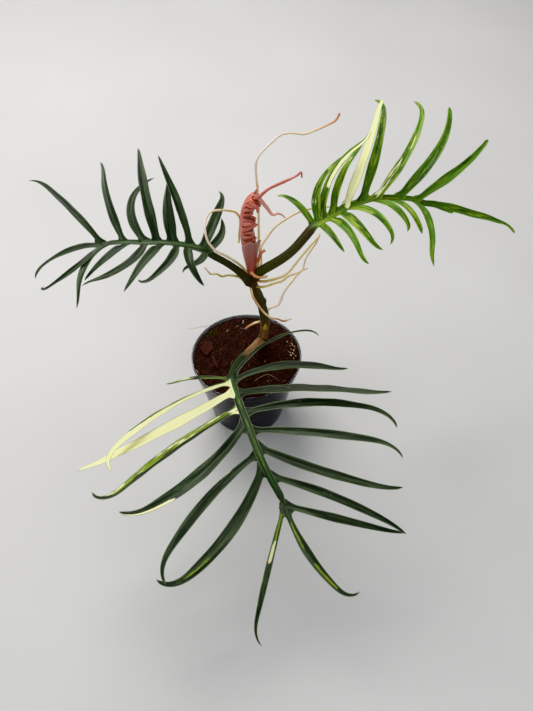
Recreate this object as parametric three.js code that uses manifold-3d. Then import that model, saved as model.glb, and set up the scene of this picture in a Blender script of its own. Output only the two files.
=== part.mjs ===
// Potted philodendron with comb-cut leaves, in its nursery pot.
// Millimetres, +Z up. The origin is the middle of the pot's underside.
import * as THREE from 'three';
import { mergeVertices } from 'three/addons/utils/BufferGeometryUtils.js';
import Module from 'manifold-3d';

const wasm = await Module();
wasm.setup();

const V = (x, y, z) => new THREE.Vector3(x, y, z);
const RAD = Math.PI / 180;

// Driving dimensions of the pot and its fill
const POT_TOP_D = 110;
const POT_BASE_D = 74;
const POT_H = 85;
const POT_WALL = 1.0;
const POT_FLOOR = 1.6;
const LIP_H = 4;
const LIP_OUT = 0.9;
const LIP_W = 1.4;
const EDGE_ROUND = 0.5;
const FOOT_ROUND = 1.1;
const DRAIN_D = 7;
const DRAIN_RING_R = 25;
const DRAIN_COUNT = 8;
const DRAIN_SIDES = 12;
const POT_SIDES = 42;

// Soil: its level, how far it drops at the wall, and the waves of its top (height in mm, turns in
// radians per mm along X and Y, start)
const SOIL_Z = 83;
const SOIL_EDGE_DROP = 0.6;
const SOIL_WAVES = [[0.6, 0.21, 0.17, 1.3], [0.45, 0.43, -0.31, 0], [0.4, 0.11, 0.39, 2.3]];
const SOIL_RINGS = [0.25, 0.5, 0.72, 0.88, 1];
const SOIL_SIDES = 32;

// Bits of bark on the soil: size, place, turn and tilt in degrees, and how deep their foot lies
const BARK = {
  bark_chip: { length: 17.5, width: 12.5, height: 3, x: -40.2, y: 9.8, turn: 64, tilt: 8 },
  bark_splinter_1: { length: 18, width: 3, height: 2.4, x: -31, y: -8.8, turn: -72, tilt: 6 },
  bark_splinter_2: { length: 8, width: 3, height: 2.4, x: -19.2, y: -12, turn: 48, tilt: 8 },
};
const BARK_OUTLINE = [[-0.5, -0.4], [0.1, -0.5], [0.5, -0.1], [0.3, 0.5], [-0.35, 0.35]];
const BARK_SINK = 0.3;

// Gap that touching pieces keep, and the sheet thickness of a blade
const GAP = 0.3;
const BLADE_T = 0.8;

// Stem: its middle line from the buried foot to the top, and its half thickness there
const STEM_LINE = [V(14.5, 18.5, 52), V(14.5, 18.5, 79), V(16, 18.5, 88), V(18.5, 16, 116),
  V(15.5, 12.5, 144), V(12, 10.5, 160), V(9.5, 8.5, 170), V(6.5, 4, 184), V(5.5, 3, 191)];
const STEM_R = 4.4;
const STEM_FOOT_R = 4.0;
const STEM_NODES = [88, 116, 150, 184];
const NODE_SWELL = 0.9;
const NODE_REACH = 2.6;
const BUD_AT = V(18.5, 11.6, 115);
const BUD_SIZE = V(1.7, 1.6, 3);

// Leaves. A lobe row: at = share of the midrib where it leaves, side = +1 to the leaf's left,
// length and width in mm, spread = degrees from the midrib's direction, turn = how much of that
// it loses on the way, hook = how much more it loses in its last quarter, lift = how far it
// starts above the blade's plane, droop = how much of the lift it loses. cutAbove = how far above
// and below the midrib its cream lobes are still cut back to the wing's edge.
const LEFT_LEAF = {
  petiole: [V(5, 0.5, 187), V(0, 1, 194), V(-7, 0.5, 203), V(-15.5, -3.5, 215), V(-24, -9, 227),
    V(-33, -12, 237), V(-39, -12.5, 239.5)],
  petioleR: [4.1, 3.2, 3.0, 3.1],
  midrib: [V(-33, -12, 237), V(-48, -13, 243), V(-65, -13, 246), V(-81, -13, 246), V(-99, -9, 243),
    V(-119, -5, 238)],
  wing: [3.7, 2.8],
  cutAbove: 0,
  face: V(0, -0.12, 1),
  lobes: [
    { at: 0.12, side: -1, length: 86, width: 8, spread: 54, turn: -11, hook: -8, lift: 35, droop: 35 },
    { at: 0.29, side: -1, length: 57, width: 10, spread: 64, turn: -30, hook: 25, lift: 35, droop: 35 },
    { at: 0.44, side: -1, length: 92, width: 9, spread: 71, turn: -15, hook: 10, lift: 35, droop: 35 },
    { at: 0.53, side: -1, length: 76, width: 8, spread: 34, turn: -110, hook: 0, lift: 28, droop: 35 },
    { at: 0.77, side: -1, length: 86, width: 7, spread: 56, turn: -20, hook: 25, lift: 35, droop: 35 },
    { at: 1.0, side: -1, length: 101, width: 6.5, spread: 41, turn: 5, hook: 45, lift: 35, droop: 35 },
    { at: 1.0, side: 1, length: 71, width: 7.5, spread: 7, turn: -30, hook: -65, lift: 10, droop: 30 },
    { at: 0.98, side: 1, length: 84, width: 6.5, spread: 96, turn: 95, hook: 100, lift: 30, droop: 60 },
    { at: 0.91, side: 1, length: 73, width: 7, spread: 63, turn: -40, hook: 30, lift: 30, droop: 60 },
    { at: 0.72, side: 1, length: 53, width: 8.5, spread: 78, turn: 40, hook: 5, lift: 30, droop: 60 },
    { at: 0.57, side: 1, length: 79, width: 8.5, spread: 113, turn: 135, hook: -40, lift: 30, droop: 60 },
    { at: 0.39, side: 1, length: 62, width: 8, spread: 67, turn: 10, hook: 0, lift: 30, droop: 60 },
    { at: 0.27, side: 1, length: 64, width: 7, spread: 97, turn: 70, hook: 130, lift: 30, droop: 60 },
    { at: 0.14, side: 1, length: 48, width: 8, spread: 65, turn: -90, hook: -15, lift: 30, droop: 60 },
    { at: 0.0, side: 1, length: 38, width: 6, spread: 97, turn: 90, hook: -100, lift: 30, droop: 60 },
    { at: 0.02, side: -1, length: 61, width: 9, spread: 104, turn: 0, hook: 70, lift: 35, droop: 35 },
    { at: 0.0, side: -1, length: 39, width: 7, spread: 155, turn: 90, hook: -15, lift: 35, droop: 35 },
  ],
};
const RIGHT_LEAF = {
  petiole: [V(9, 4.5, 190), V(16, 3, 199), V(27.5, 0, 211), V(36, -1.5, 220), V(44.5, -1.5, 230),
    V(52, 1.5, 239), V(60, 7, 246), V(65, 8, 249)],
  petioleR: [4.4, 4.2, 4.0, 4.0],
  midrib: [V(60, 7, 246), V(74, 10, 254), V(86, 15, 259), V(99, 19, 262), V(112, 23, 263),
    V(125, 25, 262), V(139, 28, 259), V(152, 32, 254)],
  wing: [4.2, 3.0],
  cutAbove: 0,
  face: V(-0.05, -0.12, 1),
  lobes: [
    { at: 0.01, side: 1, length: 48, width: 6, spread: 89, turn: -45, hook: -25, lift: 40, droop: 45 },
    { at: 0.06, side: 1, length: 64, width: 8.5, spread: 77, turn: 76, hook: -25, lift: 40, droop: 45 },
    { at: 0.09, side: 1, length: 88, width: 8, spread: 56, turn: 65, hook: -77, lift: 40, droop: 45 },
    { at: 0.18, side: 1, length: 68, width: 7.5, spread: 45, turn: 25, hook: -10, lift: 40, droop: 45 },
    { at: 0.28, side: 1, length: 106, width: 8.5, spread: 22, turn: -35, hook: 20, lift: 40, droop: 45,
      cream: 1 },
    { at: 0.45, side: 1, length: 105, width: 9, spread: 43, turn: -25, hook: -65, lift: 40, droop: 45 },
    { at: 0.56, side: 1, length: 112, width: 8.8, spread: 22, turn: -50, hook: -50, lift: 40, droop: 45 },
    { at: 0.76, side: 1, length: 117, width: 9.5, spread: 27, turn: -50, hook: 5, lift: 40, droop: 45 },
    { at: 0.94, side: 1, length: 119, width: 8.5, spread: 18, turn: -30, hook: 5, lift: 40, droop: 45 },
    { at: 0.97, side: 1, length: 119, width: 11.5, spread: -22, turn: -40, hook: 65, lift: 10, droop: 30 },
    { at: 0.06, side: -1, length: 43, width: 6, spread: 65, turn: -20, hook: 5, lift: 30, droop: 60 },
    { at: 0.15, side: -1, length: 66, width: 7, spread: 58, turn: -50, hook: 50, lift: 30, droop: 60 },
    { at: 0.26, side: -1, length: 59, width: 7.5, spread: 81, turn: -5, hook: 45, lift: 30, droop: 60 },
    { at: 0.33, side: -1, length: 63, width: 6.5, spread: 42, turn: -55, hook: -75, lift: 30, droop: 60 },
    { at: 0.56, side: -1, length: 48, width: 7, spread: 50, turn: -30, hook: -60, lift: 30, droop: 60 },
    { at: 0.71, side: -1, length: 46, width: 7, spread: 56, turn: -20, hook: 0, lift: 30, droop: 60 },
    { at: 0.89, side: -1, length: 82, width: 8, spread: 87, turn: -25, hook: 50, lift: 30, droop: 60 },
  ],
};
const FRONT_LEAF = {
  petiole: [V(15.5, 16.5, 88), V(10.5, 4, 95), V(3, -12.5, 104), V(-3.5, -28.5, 113),
    V(-8.5, -45.5, 122), V(-11, -68, 132), V(-9.5, -75, 134.2)],
  petioleR: [4.6, 4.2, 4.0, 4.0],
  midrib: [V(-11, -68, 132), V(-7, -87, 137), V(-2, -105, 139), V(3, -119, 138), V(9, -135, 134),
    V(16, -151, 128), V(24, -165, 120), V(31, -175, 113), V(35, -182, 108)],
  wing: [3.6, 2.9],
  cutAbove: 6,
  face: V(0, -0.45, 0.9),
  lobes: [
    { at: 0.0, side: -1, length: 67, width: 5, spread: 114, turn: 5, hook: -25, lift: 10, droop: 30 },
    { at: 0.03, side: -1, length: 151, width: 7.5, spread: 67, turn: 15, hook: 95, lift: 15, droop: 25,
      cream: 1 },
    { at: 0.13, side: -1, length: 155, width: 12.5, spread: 55, turn: -35, hook: -10, lift: 10, droop: 20,
      cream: 2 },
    { at: 0.29, side: -1, length: 154, width: 8.8, spread: 72, turn: 5, hook: -115, lift: 10, droop: 20 },
    { at: 0.4, side: -1, length: 139, width: 11.5, spread: 45, turn: -52, hook: -40, lift: 10, droop: 20 },
    { at: 0.63, side: -1, length: 137, width: 8, spread: 73, turn: 22, hook: 67, lift: 10, droop: 20 },
    { at: 0.71, side: -1, length: 140, width: 11, spread: 42, turn: -43, hook: -74, lift: 10, droop: 20 },
    { at: 0.0, side: 1, length: 108, width: 5, spread: 141, turn: 55, hook: 85, lift: 15, droop: 30 },
    { at: 0.02, side: 1, length: 106, width: 11, spread: 88, turn: 30, hook: -45, lift: 15, droop: 30 },
    { at: 0.16, side: 1, length: 138, width: 10.5, spread: 61, turn: -5, hook: -20, lift: 15, droop: 25 },
    { at: 0.34, side: 1, length: 139, width: 8.5, spread: 78, turn: 25, hook: 65, lift: 10, droop: 25 },
    { at: 0.47, side: 1, length: 135, width: 7.7, spread: 66, turn: 5, hook: 60, lift: 10, droop: 25 },
    { at: 0.58, side: 1, length: 130, width: 8.8, spread: 41, turn: -20, hook: -20, lift: 10, droop: 25 },
    { at: 0.79, side: 1, length: 127, width: 7.5, spread: 48, turn: 15, hook: 10, lift: 10, droop: 25 },
    { at: 1.0, side: 1, length: 110, width: 7, spread: 51, turn: 0, hook: -10, lift: 5, droop: 25 },
    { at: 1.0, side: 1, length: 105, width: 7, spread: -6, turn: -35, hook: -80, lift: 10, droop: 25 },
    { at: 1.0, side: -1, length: 125, width: 5.5, spread: 40, turn: 5, hook: 55, lift: -5, droop: 10 },
  ],
};

// Lobe shape: stations along it, how the half width falls off, and the flare at its root
const ROOT_STATIONS = [0, 4.5, 11];
const LONG_STATIONS = [0.26, 0.44, 0.62, 0.78, 0.9, 1];
const SHORT_STATIONS = [0.42, 0.64, 0.84, 1];
const HOOKED_STATIONS = [0.26, 0.46, 0.64, 0.78, 0.88, 0.95, 1];
const SHORT_LOBE = 70;
const STRONG_HOOK = 45;
const PATH_STEPS = 48;
const HOOK_FROM = 0.75;
const FOLD = 20;
const ROOT_W = 0.75;
const FULL_W_AT = 0.3;
const TIP_W = 0.45;
const FLARE = 2.8;
const FLARE_AT = 4;
const FLARE_REACH = 5.5;
const ROOT_PINCH = 0.3;

// Midrib section: heights of the wings' and the rib's upper and under side, and the rib's half width
const WING_TOP = 0.9;
const WING_UNDER = -0.1;
const RIB_TOP = 0.7;
const RIB_UNDER = -1.9;
const RIB_HALF = 1.3;
const RIB_STEPS = 8;
const PETIOLE_SIDES = 8;
const PETIOLE_STEPS = 12;

// New leaf: middle line and half thickness of its crumpled body, its folds, tip and free lobes.
// Odd and even folds lean and stand out by turns, and from CLUMP_FROM on they stand out more.
const NEW_LEAF_LINE = [V(5, 6, 194), V(4, 9.5, 203), V(3, 14.5, 213), V(1.2, 17.5, 222),
  V(0.3, 21, 233), V(0.6, 25, 243), V(3, 28, 254), V(6.5, 30, 261), V(9, 30, 263)];
const NEW_LEAF_R = [2.2, 3.4, 4.2, 4.3, 4.2, 4.0, 3.8, 3.0, 1.4];
const FOLDS = 8;
const FOLD_SPAN = [0.38, 0.93];
const FOLD_SIZE = [5.6, 4.4, 2.1];
const FOLD_VARY = [0.85, 0.2, 2.4];
const FOLD_LEAN = [-8, 10];
const FOLD_PITCH = -20;
const FOLD_OUT = [4.6, 3.4];
const CLUMP_FROM = 5;
const CLUMP_OUT = 3;
const FOLD_FORWARD = 1.5;
const SHEATH_LINE = [V(6.3, 4.5, 192.6), V(6.3, 8, 199), V(5.8, 12, 207), V(5.6, 15, 216),
  V(6.2, 18, 224)];
const SHEATH_R = [3.9, 4.9, 6.4, 7.7, 7.9];
const SHEATH_GAP = 0.5;
const RED_ARM = [V(9, 27, 260), V(13.5, 25, 264), V(19.5, 25.5, 270), V(26.5, 25.5, 275),
  V(39.5, 26, 282), V(46, 27.5, 285), V(48.5, 27.5, 288), V(49.5, 26, 283)];
const PINK_ARM = [V(8, 30, 262), V(11, 28.7, 263.5), V(14, 27.2, 260), V(17, 26.8, 256),
  V(21.3, 24.9, 251), V(25.2, 22.3, 247), V(30, 23.1, 247.5), V(33.4, 23.6, 245.5),
  V(36.4, 24.2, 241.5)];
const RED_SPIKE = [V(8.5, 29.5, 261), V(10.2, 29, 265.5), V(12.3, 29.5, 269.5)];
const RED_ARM_R = [2.0, 1.7, 1.4, 1.0];
const PINK_ARM_R = [2.3, 2.0, 1.6, 1.0, 0.8];
const RED_SPIKE_R = [1.6, 0.5];

// Roots in the air: half thickness at base and tip, and middle line
const ROOTS = {
  root_left_loop: { r: [1.2, 1.0], line: [V(5, 3, 189), V(-1, 3.5, 202), V(-13.5, -4, 222),
    V(-23.5, -15.5, 241), V(-29, -14, 250), V(-31, -8, 258), V(-30, 1, 262), V(-26, 6, 264),
    V(-20.5, 9, 263), V(-12.5, 18, 255), V(-6.5, 26, 246), V(-3.5, 29, 237), V(-4.5, 29.5, 218),
    V(-5, 27, 210)] },
  root_left_wavy: { r: [1.1, 0.8], line: [V(6, 1.5, 180), V(0.5, -0.5, 188), V(-3.5, 0, 193),
    V(-8, -1, 196), V(-14.5, -1, 197), V(-19.5, -2, 196.5), V(-24, -1.5, 199), V(-29.5, -1.5, 199),
    V(-32, -1, 202), V(-35, 0, 206)] },
  root_tall: { r: [1.3, 0.9], line: [V(11, 8, 188), V(15, 17, 196), V(14, 23.5, 203), V(13, 28.5, 212),
    V(13, 33, 226), V(12.5, 41, 253), V(11, 43.5, 283), V(13, 45, 290), V(18.5, 48, 296),
    V(25.5, 53.5, 300), V(31.5, 57.5, 303), V(39.5, 60.5, 303), V(52.5, 62, 301), V(63.5, 67.5, 302),
    V(79, 75, 306), V(82, 77.5, 311)] },
  root_right_high: { r: [1.2, 0.9], line: [V(11, 4, 190), V(12.2, 12, 197), V(13.7, 16.3, 204),
    V(14.4, 18.8, 209), V(16.2, 23.2, 212), V(19.5, 27, 214.5), V(27.5, 33.5, 223), V(34.5, 37, 227), V(51.5, 41.5, 235), V(69.5, 43, 238),
    V(77.5, 44.5, 237), V(85.5, 43.5, 233), V(97, 42, 224)] },
  root_right_low: { r: [1.4, 0.9], line: [V(8, 4, 186), V(16, 1, 187), V(21.5, 0, 189), V(35, 0, 195),
    V(41, 1.5, 200), V(47, 4.5, 208), V(54, 8.5, 216), V(66, 14, 230)] },
  root_right_long: { r: [1.7, 0.9], line: [V(18, 14, 134), V(23.5, 14.5, 138), V(31, 15, 142),
    V(34, 17.5, 147), V(36.5, 20, 154), V(48.5, 25.5, 171), V(54, 28, 178), V(56.5, 30.5, 188),
    V(66, 34, 206), V(68.5, 37, 212)] },
  root_right_short: { r: [1.3, 0.8], line: [V(9, 5, 178), V(15, 1, 180), V(20.5, 0.5, 182),
    V(27.5, 0, 186), V(34, -0.5, 189), V(40, 1, 194), V(47, 0.5, 198), V(56.5, 0, 205)] },
  root_over_stem: { r: [1.2, 1.0], line: [V(5, 2, 181), V(6, 1.5, 175), V(7, 1, 169), V(10, 3.5, 158),
    V(15, 5.5, 146), V(19.5, 7, 137), V(25.5, 7.5, 131), V(31, 10, 127),
    V(37, 12, 122), V(45, 16, 122)] },
  root_stub_top: { r: [1.6, 1.3], line: [V(6, 4, 195), V(7.2, 0, 198.5), V(10, -2.8, 197.6),
    V(14.2, -3.6, 196.7), V(21.3, -2.2, 196.4)] },
  root_stub_sheath: { r: [1.5, 1.2], line: [V(10, 9, 203), V(12.5, 8.5, 206.5), V(14.2, 8, 211.8),
    V(16, 8, 216.6), V(19.1, 8.5, 218.5)] },
  root_stub_soil: { r: [1.5, 1.1], line: [V(16, 17.5, 116), V(9.5, 19, 112), V(4.5, 19.5, 108),
    V(-1.5, 18.5, 103)] },
};

// Dry bract: from and to, as shares of the front petiole, and half its sweep round it in degrees
const BRACT_SPAN = [0.065, 0.56];
const BRACT_SWEEP = [80, 56, 40, 9];
const BRACT_FACE = V(0.3, -0.1, 0.9);
const BRACT_STEPS = 8;
const BRACT_POINTS = 5;
const BRACT_GAP = 0.4;

// Turns a closed three.js geometry into a solid for joining and cutting
function solid(geometry) {
  const g = geometry.clone();
  g.deleteAttribute('normal');
  g.deleteAttribute('uv');
  const m = mergeVertices(g, 1e-4);
  return new wasm.Manifold(new wasm.Mesh({
    numProp: 3,
    vertProperties: new Float32Array(m.attributes.position.array),
    triVerts: new Uint32Array(m.index.array),
  }));
}

// Turns a solid back into a three.js geometry
function geometryOf(manifold) {
  const m = manifold.getMesh();
  const g = new THREE.BufferGeometry();
  g.setAttribute('position', new THREE.BufferAttribute(new Float32Array(m.vertProperties), 3));
  g.setIndex(new THREE.BufferAttribute(new Uint32Array(m.triVerts), 1));
  g.computeVertexNormals();
  return g;
}

const union = (solids) => solids.reduce((a, b) => a.add(b));
const smooth = (x) => { const t = Math.min(Math.max(x, 0), 1); return t * t * (3 - 2 * t); };

// Straight-line reading of a list of values at share u
function along(values, u) {
  const k = Math.min(Math.max(u, 0), 1) * (values.length - 1);
  const i = Math.min(Math.floor(k), values.length - 2);
  return values[i] + (values[i + 1] - values[i]) * (k - i);
}

// Closed body through rings of points. The far half of each ring is split on the other
// diagonal, so that the two faces of a blade are split alike.
function loft(rings, sheet = false) {
  const n = rings[0].length;
  const pos = rings.flat().flatMap((p) => [p.x, p.y, p.z]);
  const idx = [];
  for (let i = 0; i < rings.length - 1; i++) {
    for (let j = 0; j < n; j++) {
      const a = i * n + j;
      const b = i * n + (j + 1) % n;
      const c = b + n;
      const d = a + n;
      if (sheet && j >= n / 2) idx.push(a, b, d, b, c, d);
      else idx.push(a, b, c, a, c, d);
    }
  }
  const last = (rings.length - 1) * n;
  if (sheet) {
    for (let j = 0; j < n / 2 - 1; j++) {
      const k = n - 1 - j;
      idx.push(k, k - 1, j, k - 1, j + 1, j);
      idx.push(last + k, last + j, last + k - 1, last + k - 1, last + j, last + j + 1);
    }
  } else {
    for (let j = 1; j < n - 1; j++) {
      idx.push(0, j + 1, j);
      idx.push(last, last + j, last + j + 1);
    }
  }
  const g = new THREE.BufferGeometry();
  g.setAttribute('position', new THREE.BufferAttribute(new Float32Array(pos), 3));
  g.setIndex(idx);
  const s = solid(g);
  if (s.volume() > 0) return s;
  g.setIndex(idx.slice().reverse());
  return solid(g);
}

// Tube with a changing half thickness along a curve; flat < 1 squashes it along 'up'
function tube(line, radii, sides, steps, grow = 0, flat = 1) {
  const curve = new THREE.CatmullRomCurve3(line);
  const frames = curve.computeFrenetFrames(steps, false);
  const rings = [];
  for (let i = 0; i <= steps; i++) {
    const u = i / steps;
    const c = curve.getPointAt(u);
    const r = along(radii, u) + grow;
    const ring = [];
    for (let j = 0; j < sides; j++) {
      const a = 2 * Math.PI * j / sides;
      ring.push(c.clone().addScaledVector(frames.normals[i], r * Math.cos(a) * flat)
        .addScaledVector(frames.binormals[i], r * Math.sin(a)));
    }
    rings.push(ring);
  }
  return loft(rings);
}

// Place, direction, blade normal and left-hand side of a midrib at share s
function midribFrame(curve, face, s) {
  const p = curve.getPointAt(s);
  const t = curve.getTangentAt(s);
  const n = face.clone().addScaledVector(t, -face.dot(t)).normalize();
  return { p, t, n, w: new THREE.Vector3().crossVectors(n, t) };
}

// One lobe: its path is the sum of short steps whose bearing and rise follow the row
function lobe(curve, face, row, grow = 0) {
  const { p, t, n, w } = midribFrame(curve, face, row.at);
  const path = [p.clone()];
  const dirs = [];
  for (let i = 0; i < PATH_STEPS; i++) {
    const u = (i + 0.5) / PATH_STEPS;
    const hook = row.hook * Math.max(0, (u - HOOK_FROM) / (1 - HOOK_FROM)) ** 2;
    const a = (row.spread - row.turn * u - hook) * RAD;
    const e = (row.lift - row.droop * u) * RAD;
    const d = t.clone().multiplyScalar(Math.cos(e) * Math.cos(a))
      .addScaledVector(w, row.side * Math.cos(e) * Math.sin(a)).addScaledVector(n, Math.sin(e));
    dirs.push(d);
    path.push(path[i].clone().addScaledVector(d, row.length / PATH_STEPS));
  }
  const shares = row.length < SHORT_LOBE ? SHORT_STATIONS
    : Math.abs(row.hook) > STRONG_HOOK ? HOOKED_STATIONS : LONG_STATIONS;
  const stations = [...ROOT_STATIONS.map((d) => d / row.length), ...shares];
  const rings = stations.map((u) => {
    const k = Math.min(u * PATH_STEPS, PATH_STEPS - 1e-6);
    const i = Math.floor(k);
    const c = path[i].clone().lerp(path[i + 1], k - i);
    const d = dirs[i];
    const up = n.clone().addScaledVector(d, -n.dot(d)).normalize();
    const out = new THREE.Vector3().crossVectors(up, d);
    const from = u * row.length;
    const pinch = Math.min(1, ROOT_PINCH + (1 - ROOT_PINCH) * from / FLARE_AT);
    const full = row.width / 2 * (ROOT_W + (1 - ROOT_W) * smooth(u / FULL_W_AT));
    const flare = FLARE * Math.exp(-(((from - FLARE_AT) / FLARE_REACH) ** 2));
    const half = pinch * (Math.max(full * (1 - u ** 3), TIP_W) + flare) + grow;
    const rise = half * Math.tan(FOLD * RAD);
    const t2 = BLADE_T / 2 + grow;
    const at = (x, y, z) => c.clone().addScaledVector(out, x).addScaledVector(up, y + z);
    return [at(-half, rise, t2), at(0, 0, t2), at(half, rise, t2),
      at(half, rise, -t2), at(0, 0, -t2), at(-half, rise, -t2)];
  });
  return loft(rings, true);
}

// Winged midrib: a strap with a raised rib under it. 'tall' thickens it to cut lobes off square.
function midrib(curve, leaf, grow = 0, tall = 0) {
  const rings = [];
  for (let i = 0; i <= RIB_STEPS; i++) {
    const s = i / RIB_STEPS;
    const { p, n, w } = midribFrame(curve, leaf.face, s);
    const half = along(leaf.wing, s) + grow;
    const at = (x, y) => p.clone().addScaledVector(w, x).addScaledVector(n, y);
    const more = grow + tall;
    rings.push([at(-half, WING_TOP + more), at(-RIB_HALF, RIB_TOP + more),
      at(RIB_HALF, RIB_TOP + more), at(half, WING_TOP + more), at(half, WING_UNDER - more),
      at(RIB_HALF, RIB_UNDER - more), at(-RIB_HALF, RIB_UNDER - more),
      at(-half, WING_UNDER - more)]);
  }
  return loft(rings);
}

const petioleTube = (leaf, grow = 0) =>
  tube(leaf.petiole, leaf.petioleR, PETIOLE_SIDES, PETIOLE_STEPS, grow);

// Whole leaf: petiole, midrib and green lobes in one solid, and each cream lobe cut clear of it
function leafSolids(leaf) {
  const curve = new THREE.CatmullRomCurve3(leaf.midrib);
  const green = [petioleTube(leaf), midrib(curve, leaf)];
  const cream = {};
  for (const row of leaf.lobes) {
    if (row.cream) cream[row.cream] = lobe(curve, leaf.face, row);
    else green.push(lobe(curve, leaf.face, row));
  }
  const body = union(green);
  const keepOff = union([midrib(curve, leaf, GAP, leaf.cutAbove), petioleTube(leaf, GAP),
    ...leaf.lobes.filter((row) => !row.cream).map((row) => lobe(curve, leaf.face, row, GAP))]);
  const creams = Object.values(cream).map((c) => largest(c.subtract(keepOff)));
  return { body, creams };
}

// The biggest loose piece of a solid that a cut left in scraps
function largest(manifold) {
  return manifold.decompose().sort((a, b) => b.volume() - a.volume())[0];
}

// Pot: one turned profile with a lip, and a ring of drain holes through its floor
const potSlope = (POT_TOP_D / 2 - LIP_OUT - POT_BASE_D / 2) / (POT_H - LIP_H);
const potOuter = (z) => POT_BASE_D / 2 + potSlope * z;
const potInner = (z) => potOuter(z) - POT_WALL;

function potSolid() {
  const lip = POT_TOP_D / 2;
  const lipFoot = POT_H - LIP_H;
  const profile = [[0, 0], [POT_BASE_D / 2 - FOOT_ROUND, 0], [potOuter(FOOT_ROUND), FOOT_ROUND],
    [potOuter(lipFoot), lipFoot], [lip, lipFoot + LIP_OUT], [lip, POT_H - EDGE_ROUND],
    [lip - EDGE_ROUND, POT_H], [lip - LIP_W, POT_H], [potInner(lipFoot), lipFoot],
    [potInner(POT_FLOOR), POT_FLOOR], [0, POT_FLOOR]].map(([r, z]) => new THREE.Vector2(r, z));
  const body = new THREE.LatheGeometry(profile, POT_SIDES).rotateX(Math.PI / 2);
  let pot = solid(body);
  for (let i = 0; i < DRAIN_COUNT; i++) {
    const a = 2 * Math.PI * (i + 0.5) / DRAIN_COUNT;
    const hole = new THREE.CylinderGeometry(DRAIN_D / 2, DRAIN_D / 2, 3 * POT_FLOOR, DRAIN_SIDES)
      .rotateX(Math.PI / 2)
      .translate(DRAIN_RING_R * Math.cos(a), DRAIN_RING_R * Math.sin(a), POT_FLOOR / 2);
    pot = pot.subtract(solid(hole));
  }
  return pot;
}

// Soil: a cone fill whose top is lumpy by a sum of waves
const soilTop = (x, y) =>
  SOIL_WAVES.reduce((z, [h, kx, ky, p]) => z + h * Math.sin(kx * x + ky * y + p), SOIL_Z);

function soilSolid(raise = 0) {
  const around = SOIL_SIDES;
  const foot = POT_FLOOR + GAP;
  const edgeZ = SOIL_Z - SOIL_EDGE_DROP;
  const rimR = potInner(edgeZ) - GAP;
  const pos = [0, 0, soilTop(0, 0) + raise];
  for (const k of SOIL_RINGS) {
    for (let j = 0; j < around; j++) {
      const a = 2 * Math.PI * j / around;
      const x = rimR * k * Math.cos(a);
      const y = rimR * k * Math.sin(a);
      pos.push(x, y, (k === 1 ? edgeZ : soilTop(x, y)) + raise);
    }
  }
  const footR = potInner(foot) - GAP;
  for (let j = 0; j < around; j++) {
    const a = 2 * Math.PI * j / around;
    pos.push(footR * Math.cos(a), footR * Math.sin(a), foot);
  }
  pos.push(0, 0, foot);
  const rows = SOIL_RINGS.length + 1;
  const idx = [];
  for (let j = 0; j < around; j++) {
    const k = (j + 1) % around;
    idx.push(0, 1 + j, 1 + k);
    for (let i = 0; i < rows - 1; i++) {
      const a = 1 + i * around;
      const b = a + around;
      idx.push(a + j, b + j, b + k, a + j, b + k, a + k);
    }
    const low = 1 + (rows - 1) * around;
    idx.push(low + j, pos.length / 3 - 1, low + k);
  }
  const g = new THREE.BufferGeometry();
  g.setAttribute('position', new THREE.BufferAttribute(new Float32Array(pos), 3));
  g.setIndex(idx);
  return solid(g);
}

// Stem with swollen nodes and a pointed side bud
function stemSolid(grow = 0) {
  const steps = 28;
  const curve = new THREE.CatmullRomCurve3(STEM_LINE);
  const radii = [];
  for (let i = 0; i <= steps; i++) {
    const z = curve.getPointAt(i / steps).z;
    const swell = STEM_NODES.map((node) => Math.exp(-(((z - node) / NODE_REACH) ** 2)))
      .reduce((a, b) => a + b);
    radii.push((z < SOIL_Z ? STEM_FOOT_R : STEM_R) + NODE_SWELL * swell);
  }
  const body = tube(STEM_LINE, radii, 9, steps, grow);
  const bud = new THREE.SphereGeometry(1, 8, 6)
    .scale(BUD_SIZE.x + grow, BUD_SIZE.y + grow, BUD_SIZE.z + grow)
    .translate(BUD_AT.x, BUD_AT.y, BUD_AT.z);
  return body.add(solid(bud));
}

// Crumpled new leaf: a ridge-folded body, a tip spike and two free lobes, all one piece
function newLeafSolid(grow = 0) {
  const curve = new THREE.CatmullRomCurve3(NEW_LEAF_LINE);
  const parts = [tube(NEW_LEAF_LINE, NEW_LEAF_R, 8, 14, grow)];
  const [size, vary, beat] = FOLD_VARY;
  for (let i = 0; i < FOLDS; i++) {
    const c = curve.getPointAt(FOLD_SPAN[0] + (FOLD_SPAN[1] - FOLD_SPAN[0]) * i / (FOLDS - 1));
    const big = size + vary * Math.sin(i * beat);
    const out = FOLD_OUT[i % 2] + (i < CLUMP_FROM ? 0 : CLUMP_OUT);
    const fold = new THREE.SphereGeometry(1, 6, 4)
      .scale(FOLD_SIZE[0] * big + grow, FOLD_SIZE[1] + grow, FOLD_SIZE[2] + grow)
      .rotateY(FOLD_LEAN[i % 2] * RAD).rotateX(FOLD_PITCH * RAD)
      .translate(c.x + out, c.y - FOLD_FORWARD, c.z);
    parts.push(solid(fold));
  }
  parts.push(tube(RED_ARM, RED_ARM_R, 6, 12, grow), tube(PINK_ARM, PINK_ARM_R, 6, 12, grow),
    tube(RED_SPIKE, RED_SPIKE_R, 6, 3, grow));
  return union(parts);
}

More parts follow.
